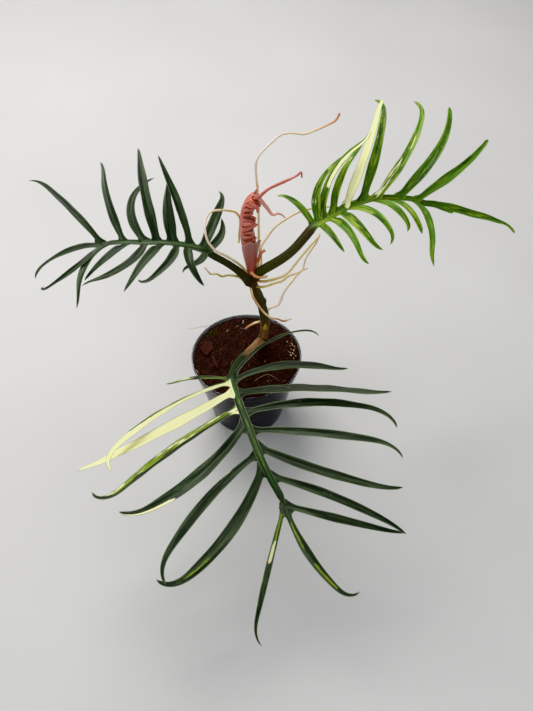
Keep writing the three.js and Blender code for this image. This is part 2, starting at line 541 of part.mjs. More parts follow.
// Dry bract: a thin pointed shell round the top of the front leaf's petiole
function bractSolid() {
  const curve = new THREE.CatmullRomCurve3(FRONT_LEAF.petiole);
  const rings = [];
  for (let i = 0; i <= BRACT_STEPS; i++) {
    const v = i / BRACT_STEPS;
    const u = BRACT_SPAN[0] + (BRACT_SPAN[1] - BRACT_SPAN[0]) * v;
    const { p, n, w } = midribFrame(curve, BRACT_FACE, u);
    const inner = along(FRONT_LEAF.petioleR, u) + BRACT_GAP;
    const sweep = along(BRACT_SWEEP, v) * RAD;
    const arc = (r) => Array.from({ length: BRACT_POINTS }, (_, j) => {
      const a = sweep * (1 - 2 * j / (BRACT_POINTS - 1));
      return p.clone().addScaledVector(w, r * Math.sin(a)).addScaledVector(n, r * Math.cos(a));
    });
    rings.push([...arc(inner + BLADE_T), ...arc(inner).reverse()]);
  }
  return loft(rings, true);
}

// Bit of bark on the soil, cut off where it would sink in
function barkSolid({ length, width, height, x, y, turn, tilt }) {
  const shape = new THREE.Shape(BARK_OUTLINE.map(([a, b]) => new THREE.Vector2(a * length, b * width)));
  const g = new THREE.ExtrudeGeometry(shape, { depth: height, bevelEnabled: false })
    .rotateX(tilt * RAD).rotateZ(turn * RAD).translate(x, y, soilTop(x, y) - BARK_SINK);
  return largest(solid(g).subtract(soilSolid(GAP)));
}

// Aerial root, with a step for each short stretch of its line
function rootSolid({ line, r }) {
  return tube(line, r, 6, Math.round(1.6 * (line.length - 1)));
}

const group = new THREE.Group();

function add(name, manifold, color, roughness = 0.6) {
  const material = new THREE.MeshStandardMaterial({ color, roughness, metalness: 0 });
  const mesh = new THREE.Mesh(geometryOf(manifold), material);
  mesh.name = name;
  group.add(mesh);
}

const stem = stemSolid();
const stemRoom = stemSolid(GAP);
const left = leafSolids(LEFT_LEAF);
const right = leafSolids(RIGHT_LEAF);
const front = leafSolids(FRONT_LEAF);
const petioleRoom = union([LEFT_LEAF, RIGHT_LEAF, FRONT_LEAF].map((leaf) => petioleTube(leaf, GAP)));
const sheathRoom = tube(SHEATH_LINE, SHEATH_R, 10, 8, GAP);
const sheath = tube(SHEATH_LINE, SHEATH_R, 10, 8).subtract(newLeafSolid(SHEATH_GAP));

// What grows from the stem's top keeps clear of it, and of the leaf stalks beside it
const clearOfStem = (manifold) => largest(manifold.subtract(stemRoom));
const clearOfStalks = (manifold) => clearOfStem(manifold.subtract(petioleRoom));

add('pot', potSolid(), 0x3a3734, 0.3);
add('soil', soilSolid().subtract(stemRoom), 0x2a1710, 0.95);
for (const [name, bit] of Object.entries(BARK)) add(name, barkSolid(bit), 0x6b4028, 0.9);
add('stem', stem, 0x6b5236, 0.7);
add('dry_bract', clearOfStem(bractSolid()), 0xb08a6a, 0.8);
add('front_leaf', clearOfStem(front.body), 0x3f5a2a, 0.45);
front.creams.forEach((cream, i) => add(`front_leaf_cream_${i + 1}`, cream, 0xf1edc4, 0.5));
add('left_leaf', clearOfStem(left.body), 0x4b6140, 0.45);
add('right_leaf', clearOfStem(right.body), 0x5c8a24, 0.45);
right.creams.forEach((cream) => add('right_leaf_cream', cream, 0xf1edc4, 0.5));
add('new_leaf_sheath', clearOfStalks(sheath), 0xb98a86, 0.5);
add('new_leaf', clearOfStalks(newLeafSolid()), 0xc0685a, 0.4);
for (const [name, root] of Object.entries(ROOTS)) {
  add(name, clearOfStalks(rootSolid(root).subtract(sheathRoom)), 0xd8c49a, 0.6);
}

export default group;
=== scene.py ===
"""Looks of a potted philodendron with comb-cut leaves: blades, roots, stem, soil and clear pot.

Sizes are millimetres until a mesh is made, and metres in the mesh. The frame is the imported
model's: +Z up, +X to the right leaf's side, -Y to the front leaf's side.
"""

import bmesh
import bpy
import numpy as np
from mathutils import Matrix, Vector


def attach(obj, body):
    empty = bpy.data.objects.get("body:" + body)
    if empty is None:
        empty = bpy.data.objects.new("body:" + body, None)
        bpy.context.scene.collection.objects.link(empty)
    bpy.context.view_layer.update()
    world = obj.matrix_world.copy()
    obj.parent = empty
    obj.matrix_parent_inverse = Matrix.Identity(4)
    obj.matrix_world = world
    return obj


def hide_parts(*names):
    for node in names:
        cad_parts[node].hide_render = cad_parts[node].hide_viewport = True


MM = 0.001
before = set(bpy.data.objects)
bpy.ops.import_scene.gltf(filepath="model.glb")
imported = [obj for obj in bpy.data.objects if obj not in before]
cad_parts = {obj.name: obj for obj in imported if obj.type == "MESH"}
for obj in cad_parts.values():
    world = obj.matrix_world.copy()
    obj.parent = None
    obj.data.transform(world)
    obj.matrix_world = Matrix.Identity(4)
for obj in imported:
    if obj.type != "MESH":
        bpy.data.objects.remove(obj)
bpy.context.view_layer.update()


# The plant's own sizes, as in the part's source
POT_TOP_D, POT_BASE_D, POT_H, POT_WALL, POT_FLOOR = 110, 74, 85, 1.0, 1.6
LIP_H, LIP_OUT, LIP_W = 4, 0.9, 1.4
DRAIN_D, DRAIN_RING_R, DRAIN_COUNT = 7, 25, 8
SOIL_Z, SOIL_EDGE_DROP, SOIL_GAP = 83, 0.6, 0.3
SOIL_EDGE_Z = SOIL_Z - SOIL_EDGE_DROP
SOIL_WAVES = [(0.6, 0.21, 0.17, 1.3), (0.45, 0.43, -0.31, 0), (0.4, 0.11, 0.39, 2.3)]

# Bits of bark on the soil
BARK = {
    "bark_chip": dict(length=17.5, width=12.5, height=3, x=-40.2, y=9.8, turn=64, tilt=8),
    "bark_splinter_1": dict(length=18, width=3, height=2.4, x=-31, y=-8.8, turn=-72, tilt=6),
    "bark_splinter_2": dict(length=8, width=3, height=2.4, x=-19.2, y=-12, turn=48, tilt=8),
}
BARK_OUTLINE = [(-0.5, -0.4), (0.1, -0.5), (0.5, -0.1), (0.3, 0.5), (-0.35, 0.35)]

STEM_LINE = [(14.5, 18.5, 52), (14.5, 18.5, 79), (16, 18.5, 88), (18.5, 16, 116), (15.5, 12.5, 144),
             (12, 10.5, 160), (9.5, 8.5, 170), (6.5, 4, 184), (5.5, 3, 191)]
STEM_R, STEM_FOOT_R = 4.4, 4.0
STEM_NODES = (88, 116, 150, 184)
# Heights of the fine rings between the nodes
STEM_RINGS = (100, 104.5, 128, 133, 163, 171)
NODE_SWELL, NODE_REACH = 0.9, 2.6
BUD_AT, BUD_R = (18.5, 11.6, 115), 1.7
# The bud's scales: size and rise of each
BUD_SCALES = ((1.15, -1.2), (1.0, 0.0), (0.75, 1.3))


def lobes(text):
    """Lobe rows: at, side, length, width, spread, turn, hook, lift, droop, and perhaps a spur."""
    names = ("at", "side", "length", "width", "spread", "turn", "hook", "lift", "droop", "spur")
    return [dict(zip(names, map(float, line.split()))) for line in text.strip().splitlines()]


# A lobe row: at = share of the midrib where it leaves, side = +1 to the leaf's left, length and
# width, spread = degrees from the midrib's direction, turn = how much of it the lobe loses on the
# way, hook = how much more in its last quarter, lift = start above the blade, droop = its loss,
# spur = how far its tip side juts out at a fifth of the way.
LEFT_LEAF = dict(
    petiole=[(5, 0.5, 187), (0, 1, 194), (-7, 0.5, 203), (-15.5, -3.5, 215), (-24, -9, 227),
             (-33, -12, 237)],
    petiole_r=(4.1, 3.2, 3.0, 3.1),
    midrib=[(-33, -12, 237), (-48, -13, 243), (-65, -13, 246), (-81, -13, 246), (-99, -9, 243),
            (-119, -5, 238)],
    wing=(2.9, 2.3), face=(0, -0.12, 1), wing_lift=(31, 35), web=1.8, web_reach=6,
    full_at=0.3, taper=0.82, ease=(1.9, 1.9), rib_reach=0.7, rib_fade=0.3,
    lobes=lobes("""
    0.12 -1  86  8.0  54  -11   -8 35 35
    0.29 -1  57 10.0  64  -30   25 35 35
    0.44 -1  92  9.0  71  -15   10 35 35
    0.53 -1  76  8.0  34 -110    0 28 35
    0.77 -1  86  7.0  56  -20   25 35 35
    1.00 -1 101  6.5  41    5   45 35 35
    1.00  1  71  7.5   7  -30  -65 10 30
    0.98  1  84  6.5  96   95  100 30 60
    0.91  1  73  7.0  63  -40   30 30 60
    0.72  1  53  8.5  78   40    5 30 60
    0.57  1  79  8.5 113  135  -40 30 60
    0.39  1  62  8    67   10    0 30 60
    0.27  1  64  7.0  97   70  130 30 60
    0.14  1  48  8    65  -90  -15 30 60
    0.00  1  38  6.0  97   90 -100 30 60
    0.02 -1  61  9.0 104    0   70 35 35
    0.00 -1  39  7.0 155   90  -15 35 35"""))
RIGHT_LEAF = dict(
    petiole=[(9, 4.5, 190), (16, 3, 199), (27.5, 0, 211), (36, -1.5, 220), (44.5, -1.5, 230),
             (52, 1.5, 239), (60, 7, 246)],
    petiole_r=(4.4, 4.2, 4.0, 4.0),
    midrib=[(60, 7, 246), (74, 10, 254), (86, 15, 259), (99, 19, 262), (112, 23, 263),
            (125, 25, 262), (139, 28, 259), (152, 32, 254)],
    wing=(4.0, 2.8), face=(-0.05, -0.12, 1), wing_lift=(38, 30), web=1.5, web_reach=5,
    full_at=0.3, taper=0.67, ease=(1.7, 1.1), rib_reach=1.0, rib_fade=0.3,
    lobes=lobes("""
    0.01  1  48  6.0  89  -45  -25 40 45
    0.06  1  64  8.5  77   76  -25 40 45
    0.09  1  88  8.0  56   65  -77 40 45
    0.18  1  68  7.5  45   25  -10 40 45
    0.28  1 106  8.5  22  -35   20 40 45
    0.45  1 105  9.0  43  -25  -65 40 45
    0.56  1 112  8.8  22  -50  -50 40 45
    0.76  1 117  9.5  27  -50    5 40 45
    0.94  1 119  8.5  18  -30    5 40 45
    0.97  1 119 11.5 -22  -40   65 10 30 2.7
    0.06 -1  43  6.0  65  -20    5 30 60
    0.15 -1  66  7.0  58  -50   50 30 60
    0.26 -1  59  7.5  81   -5   45 30 60
    0.33 -1  63  6.5  42  -55  -75 30 60
    0.56 -1  48  7.0  50  -30  -60 30 60
    0.71 -1  46  7.0  56  -20    0 30 60
    0.89 -1  82  8.0  87  -25   50 30 60"""))
FRONT_LEAF = dict(
    petiole=[(15.5, 16.5, 88), (10.5, 4, 95), (3, -12.5, 104), (-3.5, -28.5, 113),
             (-8.5, -45.5, 122), (-11, -68, 132)],
    petiole_r=(4.6, 4.2, 4.0, 4.0),
    midrib=[(-11, -68, 132), (-7, -87, 137), (-2, -105, 139), (3, -119, 138), (9, -135, 134),
            (16, -151, 128), (24, -165, 120), (31, -175, 113), (35, -182, 108)],
    wing=(3.6, 3.1), face=(0, -0.45, 0.9), wing_lift=(12, 11), web=3.0, web_reach=8,
    # The lobes on this leaf's left carry painted shade on their stalk-side half
    full_at=0.42, taper=0.8, ease=(1.8, 1.8), rib_reach=1.2, rib_fade=0.5, shaded_half=-1,
    lobes=lobes("""
    0.00 -1  67  5.0 114    5  -25 10 30
    0.03 -1 151  8.6  67   15   95 15 25
    0.13 -1 155 12.5  55  -35  -10 10 20
    0.29 -1 154  8.8  72    5 -115 10 20
    0.40 -1 139 11.5  45  -52  -40 10 20
    0.63 -1 137  9.0  73   22   67 10 20
    0.71 -1 140 11    42  -43  -74 10 20
    0.00  1 108  5.0 141   55   85 15 30
    0.02  1 106  11   88   30  -45 15 30
    0.16  1 138  10.5  61   -5  -20 15 25
    0.34  1 139  8.5  78   25   65 10 25
    0.47  1 135  7.7  66    5   60 10 25
    0.58  1 130  8.8  41  -20  -20 10 25
    0.79  1 127  7.5  48   15   10 10 25
    1.00  1 110  7.0  51    0  -10  5 25
    1.00  1 105  7.0  -6  -35  -80 10 25
    1.00 -1 125  5.5  40    5   55 -5 10"""))

# Where a leaf has lost its green, with one painted highlight on the front leaf's rib. Each patch:
# what, lobe number from 0 (or "rib"), from and to along the lobe, from and to across it (-1 its
# stalk side, 1 its tip side), and how much.
FRONT_PATCHES = [
    ("lime", 0, 0, 1, -1, 1, 0.45), ("cream", 0, 0.45, 0.8, -1, 0.2, 0.4),
    ("cream", 1, -1, 2, -2, 2, 1), ("leaf", 1, -1, 0.72, -2, -0.5, 0.8),
    ("lime", 1, -1, 2, -2, -0.15, 0.75), ("leaf", 1, 0.1, 0.6, -0.08, 0.1, 0.55),
    ("cream", 2, -1, 2, -2, 2, 1),
    ("lime", 3, 0.0, 0.85, -1.2, 0.25, 0.68), ("cream", 3, 0.02, 0.07, -0.6, 1, 1),
    ("cream", 3, 0.12, 0.6, -0.9, 0.1, 0.38), ("cream", 3, 0.5, 1.2, -2, -0.2, 0.4),
    ("cream", 4, 0.66, 1.2, 0.45, 2, 0.85),
    ("cream", 5, 0.02, 0.3, -1.4, -0.8, 0.5), ("lime", 6, 0.62, 0.9, -0.4, 0.4, 0.5),
    ("lime", 15, 0.12, 0.38, -0.1, 0.45, 0.6), ("lime", 15, 0.5, 0.8, -0.3, 0.45, 0.72),
    ("lime", 15, 0.3, 0.6, -0.1, 0.2, 0.42), ("cream", 16, 0.25, 0.4, -0.6, 0.4, 0.85),
    ("lime", 16, 0.0, 0.36, -0.6, 0.4, 0.58), ("lime", 16, 0.36, 0.9, -1.2, -0.6, 0.4),
    ("cream", "rib", 0.0, 0.19, -2, -0.3, 1), ("lime", "rib", 0.2, 0.75, -0.2, 0.2, 0.55),
    # Painted highlight: the narrow cream streak on the rib's crest, from 0.54 to 0.65 along it
    ("cream", "rib", 0.54, 0.65, -0.1, 0.12, 0.62),
]
# Lime over the whole of a lobe of the right leaf: lobe and amount
RIGHT_WASH = {0: 0.45, 1: 0.46, 2: 0.45, 3: 0.46, 5: 0.4, 6: 0.5, 7: 0.36, 8: 0.28,
              9: 0.33, 10: 0.35, 12: 0.45, 14: 0.42, 16: 0.33}
RIGHT_PATCHES = [
    ("cream", 1, 0.25, 0.8, -0.8, 0.2, 0.26), ("cream", 2, 0.33, 1.2, -0.35, 0.7, 0.95),
    ("lime", 3, 0.35, 0.8, -0.8, 0.4, 0.6), ("cream", 3, 0.4, 0.8, -0.4, 0.4, 0.3),
    ("cream", 4, 0.03, 2, -2, 2, 1), ("cream", 5, 0.3, 0.7, -0.5, -0.1, 0.34),
    ("cream", 6, 0.02, 0.36, -1.3, 0.1, 0.56), ("cream", 6, 0.35, 0.9, -0.4, 0.2, 0.42),
    ("lime", 7, 0.1, 0.7, -0.3, 0.3, 0.5), ("lime", 9, 0.2, 1.2, -0.4, 0.2, 0.5),
    ("lime", 9, 0.85, 1.2, -1, 1, 0.55), ("lime", 11, 0, 0.3, -0.6, 0.5, 0.8),
    ("cream", 11, 0.05, 0.22, -0.3, 0.2, 0.45), ("lime", 11, 0.3, 1.2, -2, 2, 0.42),
    ("lime", 12, 0.2, 0.6, -0.6, 0.6, 0.6), ("lime", 13, 0, 0.45, -0.8, 0.6, 0.7),
    ("lime", 13, 0.4, 1.2, -2, 2, 0.4), ("lime", 15, 0.3, 1.2, -2, 2, 0.48),
    ("lime", 16, 0.7, 1.2, -2, 2, 0.55), ("lime", "rib", 0.0, 0.3, -0.9, 0.9, 0.6),
    ("lime", "rib", 0.3, 0.9, -0.9, 0.9, 0.38), ("rust", "rib", 0.58, 0.85, -0.1, 0.1, 0.8),
]
RIGHT_PATCHES += [("lime", lobe, 0, 1.2, -2, 2, much) for lobe, much in RIGHT_WASH.items()]
LEFT_PATCHES = [("lime", "rib", 0.0, 0.5, -0.2, 0.2, 0.3)]

# Lobe shape, as in the part's source
HOOK_FROM, ROOT_W = 0.75, 0.63
EASE_LENGTHS = (60, 110)
BLUNT_END = 5.5
FOLD = np.tan(np.radians(21))
BLADE_T, EDGE_T = 0.62, 0.3
SPUR_SPAN = (0.1, 0.27)
FINE_STEPS = 200
# A lobe's foot lies in the wing's plane, then its rise and its section ease out of it
ROOT_FLAT, ROOT_EASE, ROOT_TURN = 3, 10, 12
# Least half width, waver of the width, length of the fine rings at the tip, largest twist in
# radians, bulge of the halves, waver of the edges, and how far the web lies under the wing
LEAST_HALF, WIDTH_WAVER, TIP_SPAN, TWIST = 0.34, 0.08, 8, 0.22
CROWN, EDGE_WAVER, WEB_SINK = 0.07, 0.3, 0.16
# Keel under the fold, groove on it, paint of the vein in it, and strength of the painted shade on
# one half
KEEL_H, GROOVE_H, VEIN_PAINT, SHADE_DEPTH = 0.5, 0.16, 0.12, 1.2
# Width of a patch's soft edges, along a lobe and across it
PATCH_SOFT_U, PATCH_SOFT_Q = 0.07, 0.25
# Stalk: length of the fine rings at its end, swelling of its foot, depth of its groove
STALK_END, FOOT_SWELL, STALK_GROOVE = 6, 0.22, 0.55
# Points to a span of a line, and how far before and after a place its direction is taken
SPAN_STEPS, HEADING_REACH = 40, 0.6
# Side of the table of random values behind every mottle
LATTICE = 64

# New leaf, its sheath and its free lobes
NEW_LEAF_LINE = [(5, 6, 194), (4, 9.5, 203), (3, 14.5, 213), (1.2, 17.5, 222), (0.3, 21, 233),
                 (0.6, 25, 243), (3, 28, 254), (6.5, 30, 261), (9, 30, 263)]
NEW_LEAF_R = (2.2, 3.3, 4.0, 4.0, 3.8, 3.6, 3.5, 2.8, 1.3)
SHEATH_LINE = [(6.3, 4.5, 192.6), (6.3, 8, 199), (5.8, 12, 207), (5.6, 15, 216), (6.2, 18, 224)]
SHEATH_R = (3.9, 4.9, 6.4, 7.7, 7.9)
# Height of the sheath's top edge by the share of the turn round it
SHEATH_RIM_Q = (0, 0.1, 0.33, 0.46, 0.57, 0.8, 1)
SHEATH_RIM_V = (0.88, 0.93, 0.98, 0.84, 0.78, 0.85, 0.86)
# Where round the line the sheath starts and how far it wraps, in degrees, and its thickness
SHEATH_FROM, SHEATH_TURN, SHEATH_T = -38, 385, 0.5
RED_ARM = [(9, 27, 260), (13.5, 25, 264), (19.5, 25.5, 270), (26.5, 25.5, 275), (39.5, 26, 282),
           (46, 27.5, 285), (48.5, 27.5, 288), (49.5, 26, 283)]
PINK_ARM = [(8, 30, 262), (11, 28.7, 263.5), (14, 27.2, 260), (17, 26.8, 256), (21.3, 24.9, 251),
            (25.2, 22.3, 247), (30, 23.1, 247.5), (33.4, 23.6, 245.5), (36.4, 24.2, 241.5)]
RED_SPIKE = [(8.5, 29.5, 261), (10.2, 29, 265.5), (12.3, 29.5, 269.5)]
# A curled scrap that hangs from the top clump
CURLED_SCRAP = [(6, 24.5, 258), (9.5, 22, 257), (12.5, 21.6, 253.5), (12.2, 21.2, 250)]
# Folds of the new leaf: place along it in mm, half width, how far it stands out, how much it
# climbs from the spine to its tip, and how it leans
RIDGES = [
    (25.4, 2.1, 3.4, -0.6, 0.1), (30.2, 2.4, 5.6, 0.6, -0.15), (34.9, 2.2, 5.0, -0.5, 0.2),
    (38.9, 2.1, 4.8, 0.5, -0.1), (42.8, 2.2, 6.6, 0.3, 0.15), (47.1, 2.3, 7.6, 0.9, 0.1),
    (51.4, 2.2, 4.8, -0.4, -0.2), (54.9, 2.0, 3.4, 0.8, 0.0), (58.4, 2.3, 4.8, 3.2, 0.2),
    (62.2, 2.3, 7.8, 4.4, 0.1), (65.9, 2.2, 9.2, 4.6, 0.15), (69.2, 2.1, 8.0, 3.8, 0.1),
    (72.4, 1.9, 5.4, 2.6, -0.1),
]
# The share of its folds' height that a crease keeps
CREASE_FLOOR = 0.71

# Roots in the air: half thickness at foot and tip, colour from foot to tip, and middle line
ROOTS = {
    "root_left_loop": ((1.1, 0.9), "olive cream white lemon cream", [
        (5, 3, 189), (-1, 3.5, 202), (-13.5, -4, 222), (-23.5, -15.5, 241), (-29, -14, 250),
        (-31, -8, 258), (-30, 1, 262), (-26, 6, 264), (-20.5, 9, 263), (-12.5, 18, 255),
        (-6.5, 26, 246), (-3.5, 29, 237), (-4.5, 29.5, 218), (-5, 27, 210)]),
    "root_left_wavy": ((1.1, 0.8), "peach olive olive cream", [
        (6, 1.5, 180), (0.5, -0.5, 188), (-3.5, 0, 193), (-8, -1, 196), (-14.5, -1, 197),
        (-19.5, -2, 196.5), (-24, -1.5, 199), (-29.5, -1.5, 199), (-32, -1, 202), (-35, 0, 206)]),
    "root_tall": ((1.2, 0.9), "cream lemon cream cream white white cream rust", [
        (11, 8, 188), (15, 17, 196), (14, 23.5, 203), (13, 28.5, 212), (13, 33, 226),
        (12.5, 41, 253), (11, 43.5, 283), (13, 45, 290), (18.5, 48, 296), (25.5, 53.5, 300),
        (31.5, 57.5, 303), (39.5, 60.5, 303), (52.5, 62, 301), (63.5, 67.5, 302), (79, 75, 306),
        (82, 77.5, 311)]),
    "root_right_high": ((1.2, 0.9), "cream cream cream white", [
        (11, 4, 190), (12.2, 12, 197), (13.7, 16.3, 204), (14.4, 18.8, 209), (16.2, 23.2, 212),
        (19.5, 27, 214.5), (27.5, 33.5, 223), (34.5, 37, 227), (51.5, 41.5, 235), (69.5, 43, 238),
        (77.5, 44.5, 237), (85.5, 43.5, 233), (97, 42, 224)]),
    "root_right_low": ((1.3, 0.9), "peach lemon cream lemon cream", [
        (8, 4, 186), (16, 1, 187), (21.5, 0, 189), (35, 0, 195), (41, 1.5, 200), (47, 4.5, 208),
        (54, 8.5, 216), (66, 14, 230)]),
    "root_right_long": ((1.6, 0.8), "white white white cream white cream lemon", [
        (18, 14, 134), (23.5, 14.5, 138), (31, 15, 142), (34, 17.5, 147), (36.5, 20, 154),
        (48.5, 25.5, 171), (54, 28, 178), (56.5, 30.5, 188), (66, 34, 206), (68.5, 37, 212)]),
    "root_right_short": ((1.2, 0.8), "olive lemon lemon cream cream", [
        (9, 5, 178), (15, 1, 180), (20.5, 0.5, 182), (27.5, 0, 186), (34, -0.5, 189),
        (40, 1, 194), (47, 0.5, 198), (56.5, 0, 205)]),
    "root_over_stem": ((1.2, 0.9), "lemon cream peach rose rose cream cream peach tan white", [
        (5, 2, 181), (6, 1.5, 175), (7, 1, 169), (10, 3.5, 158), (15, 5.5, 146), (19.5, 7, 137),
        (25.5, 7.5, 131), (31, 10, 127), (37, 12, 122), (45, 16, 122)]),
    "root_stub_top": ((1.5, 1.2), "rose peach peach cream", [
        (6, 4, 195), (7.2, 0, 198.5), (10, -2.8, 197.6), (14.2, -3.6, 196.7), (21.3, -2.2, 196.4)]),
    "root_stub_sheath": ((1.5, 1.2), "rust coral coral peach", [
        (10, 9, 203), (12.5, 8.5, 206.5), (14.2, 8, 211.8), (16, 8, 216.6), (19.1, 8.5, 218.5)]),
    "root_stub_soil": ((1.2, 0.9), "tan cream peach tan", [
        (16, 17.5, 116), (9.5, 19, 112), (4.5, 19.5, 108), (-1.5, 18.5, 103)]),
}

# Dry bract: its span of the petiole, how far it wraps round, and where it ends
BRACT_SPAN = (0.065, 0.56)
BRACT_SWEEP = (80, 56, 40, 9)
BRACT_FACE = (0.3, -0.1, 0.9)
BRACT_GAP, BRACT_T = 0.35, 0.45
BRACT_END = (-9.5, -75, 134.2)

# Colours of the roots, as on a screen
ROOT_COLOURS = {
    "olive": (188, 170, 100), "cream": (248, 226, 182), "white": (250, 236, 218),
    "peach": (228, 166, 116), "rust": (204, 120, 58), "lemon": (230, 212, 140),
    "coral": (214, 122, 98), "rose": (236, 188, 158), "tan": (190, 144, 104),
}

# Torn edge of the bark, layer by layer: share of the outline, and share of the height
TORN_INWARD = (0.99, 1.0, 0.96, 1.0, 0.95, 0.99)
TORN_LEVEL = (0.93, 0.72, 0.55, 0.38, 0.2, 0.06)
# How deep a bit of bark lies in the mix
BARK_SINK = 0.5

# Lumps on the mix: height, width and seed
SOIL_LUMPS = ((0.8, 4.1, 51), (0.6, 1.9, 52), (0.45, 0.9, 53))
# Loose bits stay inside this radius
INSIDE_R = 50.5
CRUMBS, FIBRES, MOSS_BLADES, FINE_GRAINS = 1800, 350, 150, 26
# Middle of the moss, and its spread
MOSS_SPREAD = (-40, 31), (4.0, 3.2)
# Perlite grains that stand out
PERLITE = [
    (44.8, 9.2), (46.2, 13.6), (46.9, 2.6), (44.0, 4.6), (48.2, 12.2), (47.2, -3.2), (43.8, 12.7),
    (47.8, 7.4), (44.6, 0.9), (49.2, -0.4), (18.5, -6.9), (21.5, -32.2), (38.1, -32.2), (46, 4),
    (48.5, 10), (42, 6), (45.5, 15.5), (-10, 40), (-20, 33), (-30, -28), (5, -44), (47.6, -7),
    (41, 18),
]
# The faces of a lump, by the numbers of its corners
LUMP_FACES = np.array([
    (0, 11, 5), (0, 5, 1), (0, 1, 7), (0, 7, 10), (0, 10, 11), (1, 5, 9), (5, 11, 4),
    (11, 10, 2), (10, 7, 6), (7, 1, 8), (3, 9, 4), (3, 4, 2), (3, 2, 6), (3, 6, 8),
    (3, 8, 9), (4, 9, 5), (2, 4, 11), (6, 2, 10), (8, 6, 7), (9, 8, 1)])
# Pale thin roots and threads on the mix: half thickness, tone, and middle line
THREADS = [
    (0.26, 0.55, [(6, -33, 82.2), (13, -28.5, 84.2), (21, -25.5, 85.4), (27, -27.5, 84.8),
                  (33.5, -32, 82.4)]),
    (0.26, 0.7, [(-50.5, -14.6, 82), (-48, -20, 83.1), (-44.4, -26, 82.4)]),
    (0.26, 0.7, [(-61, 33, 86.3), (-56.5, 33.6, 87), (-50.2, 35.2, 86.6), (-37.6, 41.4, 83.6)]),
    (0.6, 0.8, [(-3.5, 50.6, 82.3), (-4.2, 47, 83.9), (-4.4, 42.7, 82.6)]),
    (0.18, 0.35, [(-8, 38, 82.5), (-2, 36, 84), (3, 33, 83)]),
    (0.2, 0.45, [(-16.5, -14, 82.8), (-14.5, -9, 84), (-13, -5, 83)]),
]
# Roots against the wall: bearing, height, sweep round, climb, half thickness and tone
WALL_ROOTS = [
    (-86, 71, 9, -6, 0.55, 0.9), (-70, 78, 15, -12, 0.3, 0.75), (-63, 62, -16, -9, 0.25, 0.5),
]

# Roundings of the pot's foot and lip
FOOT_ROUND, LIP_ROUND = 1.2, 0.45


def smooth(x):
    """Eased step from 0 to 1: three times the square of x less twice its cube."""
    t = np.clip(x, 0, 1)
    return t * t * (3 - 2 * t)


def bell(x, centre, reach):
    """Bell curve: e to the minus square of the distance from the centre over the reach."""
    return np.exp(-(((x - centre) / reach) ** 2))


def window(x, start, end, soft):
    """1 between start and end, easing to 0 across both of them over the length soft."""
    return smooth((x - start) / soft + 0.5) * smooth((end - x) / soft + 0.5)


def along(values, share):
    """Straight-line reading of evenly spaced values at shares from 0 to 1."""
    return np.interp(share, np.linspace(0, 1, len(values)), values)


def read_rows(at, where, rows):
    """Straight-line reading of points or colours, whose rows stand at the values where."""
    return np.stack([np.interp(at, where, column) for column in rows.T], -1)


def unit(v):
    """The same direction with a length of 1."""
    return v / np.linalg.norm(v, axis=-1, keepdims=True)


def mottle(x, y, seed):
    """Soft random field from -1 to 1: random values on a unit lattice, eased between corners."""
    table = np.random.default_rng(seed).uniform(-1, 1, (LATTICE, LATTICE))
    i, j = np.floor(x).astype(int), np.floor(y).astype(int)
    fx, fy = smooth(x - i), smooth(y - j)

    def row(k):
        k = k % LATTICE
        return table[i % LATTICE, k] * (1 - fx) + table[(i + 1) % LATTICE, k] * fx

    return row(j) * (1 - fy) + row(j + 1) * fy


def round_turn(count):
    """One row of evenly spaced angles round a turn."""
    return np.linspace(0, 2 * np.pi, count, endpoint=False)[None]


def polar(radius, angle):
    """Across and up: the radius times the angle's cosine and sine."""
    return radius * np.cos(angle), radius * np.sin(angle)


def turned(a, b, angle):
    """Two measures turned about zero, the first towards the second."""
    return a * np.cos(angle) - b * np.sin(angle), a * np.sin(angle) + b * np.cos(angle)


def together(*parts):
    """The parts side by side for each point, each spread to the shape of all."""
    return np.stack(np.broadcast_arrays(*parts), -1)


def out_and_back(outer, inner):
    """Columns of a closed section: the outer ones one way, then the inner ones the other way."""
    return np.concatenate([outer, inner[:, -2:0:-1]], axis=1)


def soil_top(x, y):
    """Level of the soil: its mean level and a sum of sine waves."""
    return SOIL_Z + sum(h * np.sin(kx * x + ky * y + p) for h, kx, ky, p in SOIL_WAVES)


def pot_outer(z):
    """Radius of the pot's outer wall: its base radius and an even widening with height."""
    slope = (POT_TOP_D / 2 - LIP_OUT - POT_BASE_D / 2) / (POT_H - LIP_H)
    return POT_BASE_D / 2 + slope * z


def soil_radius(z):
    """Radius of the fill: the pot's inner wall less the gap."""
    return pot_outer(z) - POT_WALL - SOIL_GAP


class Line:
    """Smooth line through points, read by shares of its length.

    Each span is a cubic between two points. Its end slopes come from the points on both sides,
    weighted by the square roots of the spans' lengths.
    """

    def __init__(self, points):
        p = np.array(points, float)
        p = np.vstack([2 * p[0] - p[1], p, 2 * p[-1] - p[-2]])
        gap = np.linalg.norm(np.diff(p, axis=0), axis=1)[:, None] ** 0.5
        a, b, c, d = p[:-3], p[1:-2], p[2:-1], p[3:]
        d0, d1, d2 = gap[:-2], gap[1:-1], gap[2:]
        out = ((b - a) / d0 - (c - a) / (d0 + d1) + (c - b) / d1) * d1
        into = ((c - b) / d1 - (d - b) / (d1 + d2) + (d - c) / d2) * d1
        t = np.linspace(0, 1, SPAN_STEPS, endpoint=False)[None, :, None]
        b, c, out, into = (v[:, None] for v in (b, c, out, into))
        cubic = (b + out * t + (3 * (c - b) - 2 * out - into) * t ** 2
                 + (2 * (b - c) + out + into) * t ** 3)
        self.points = np.vstack([cubic.reshape(-1, 3), p[-2]])
        steps = np.linalg.norm(np.diff(self.points, axis=0), axis=1)
        self.reach = np.append(0, np.cumsum(steps))
        self.length = self.reach[-1]

    def place(self, share):
        """Points at shares of the length."""
        return read_rows(share * self.length, self.reach, self.points)

    def heading(self, share):
        """Directions at shares of the length, from the points a little before and after."""
        near = HEADING_REACH / self.length
        before, after = np.maximum(share - near, 0), np.minimum(share + near, 1)
        return unit(self.place(after) - self.place(before))


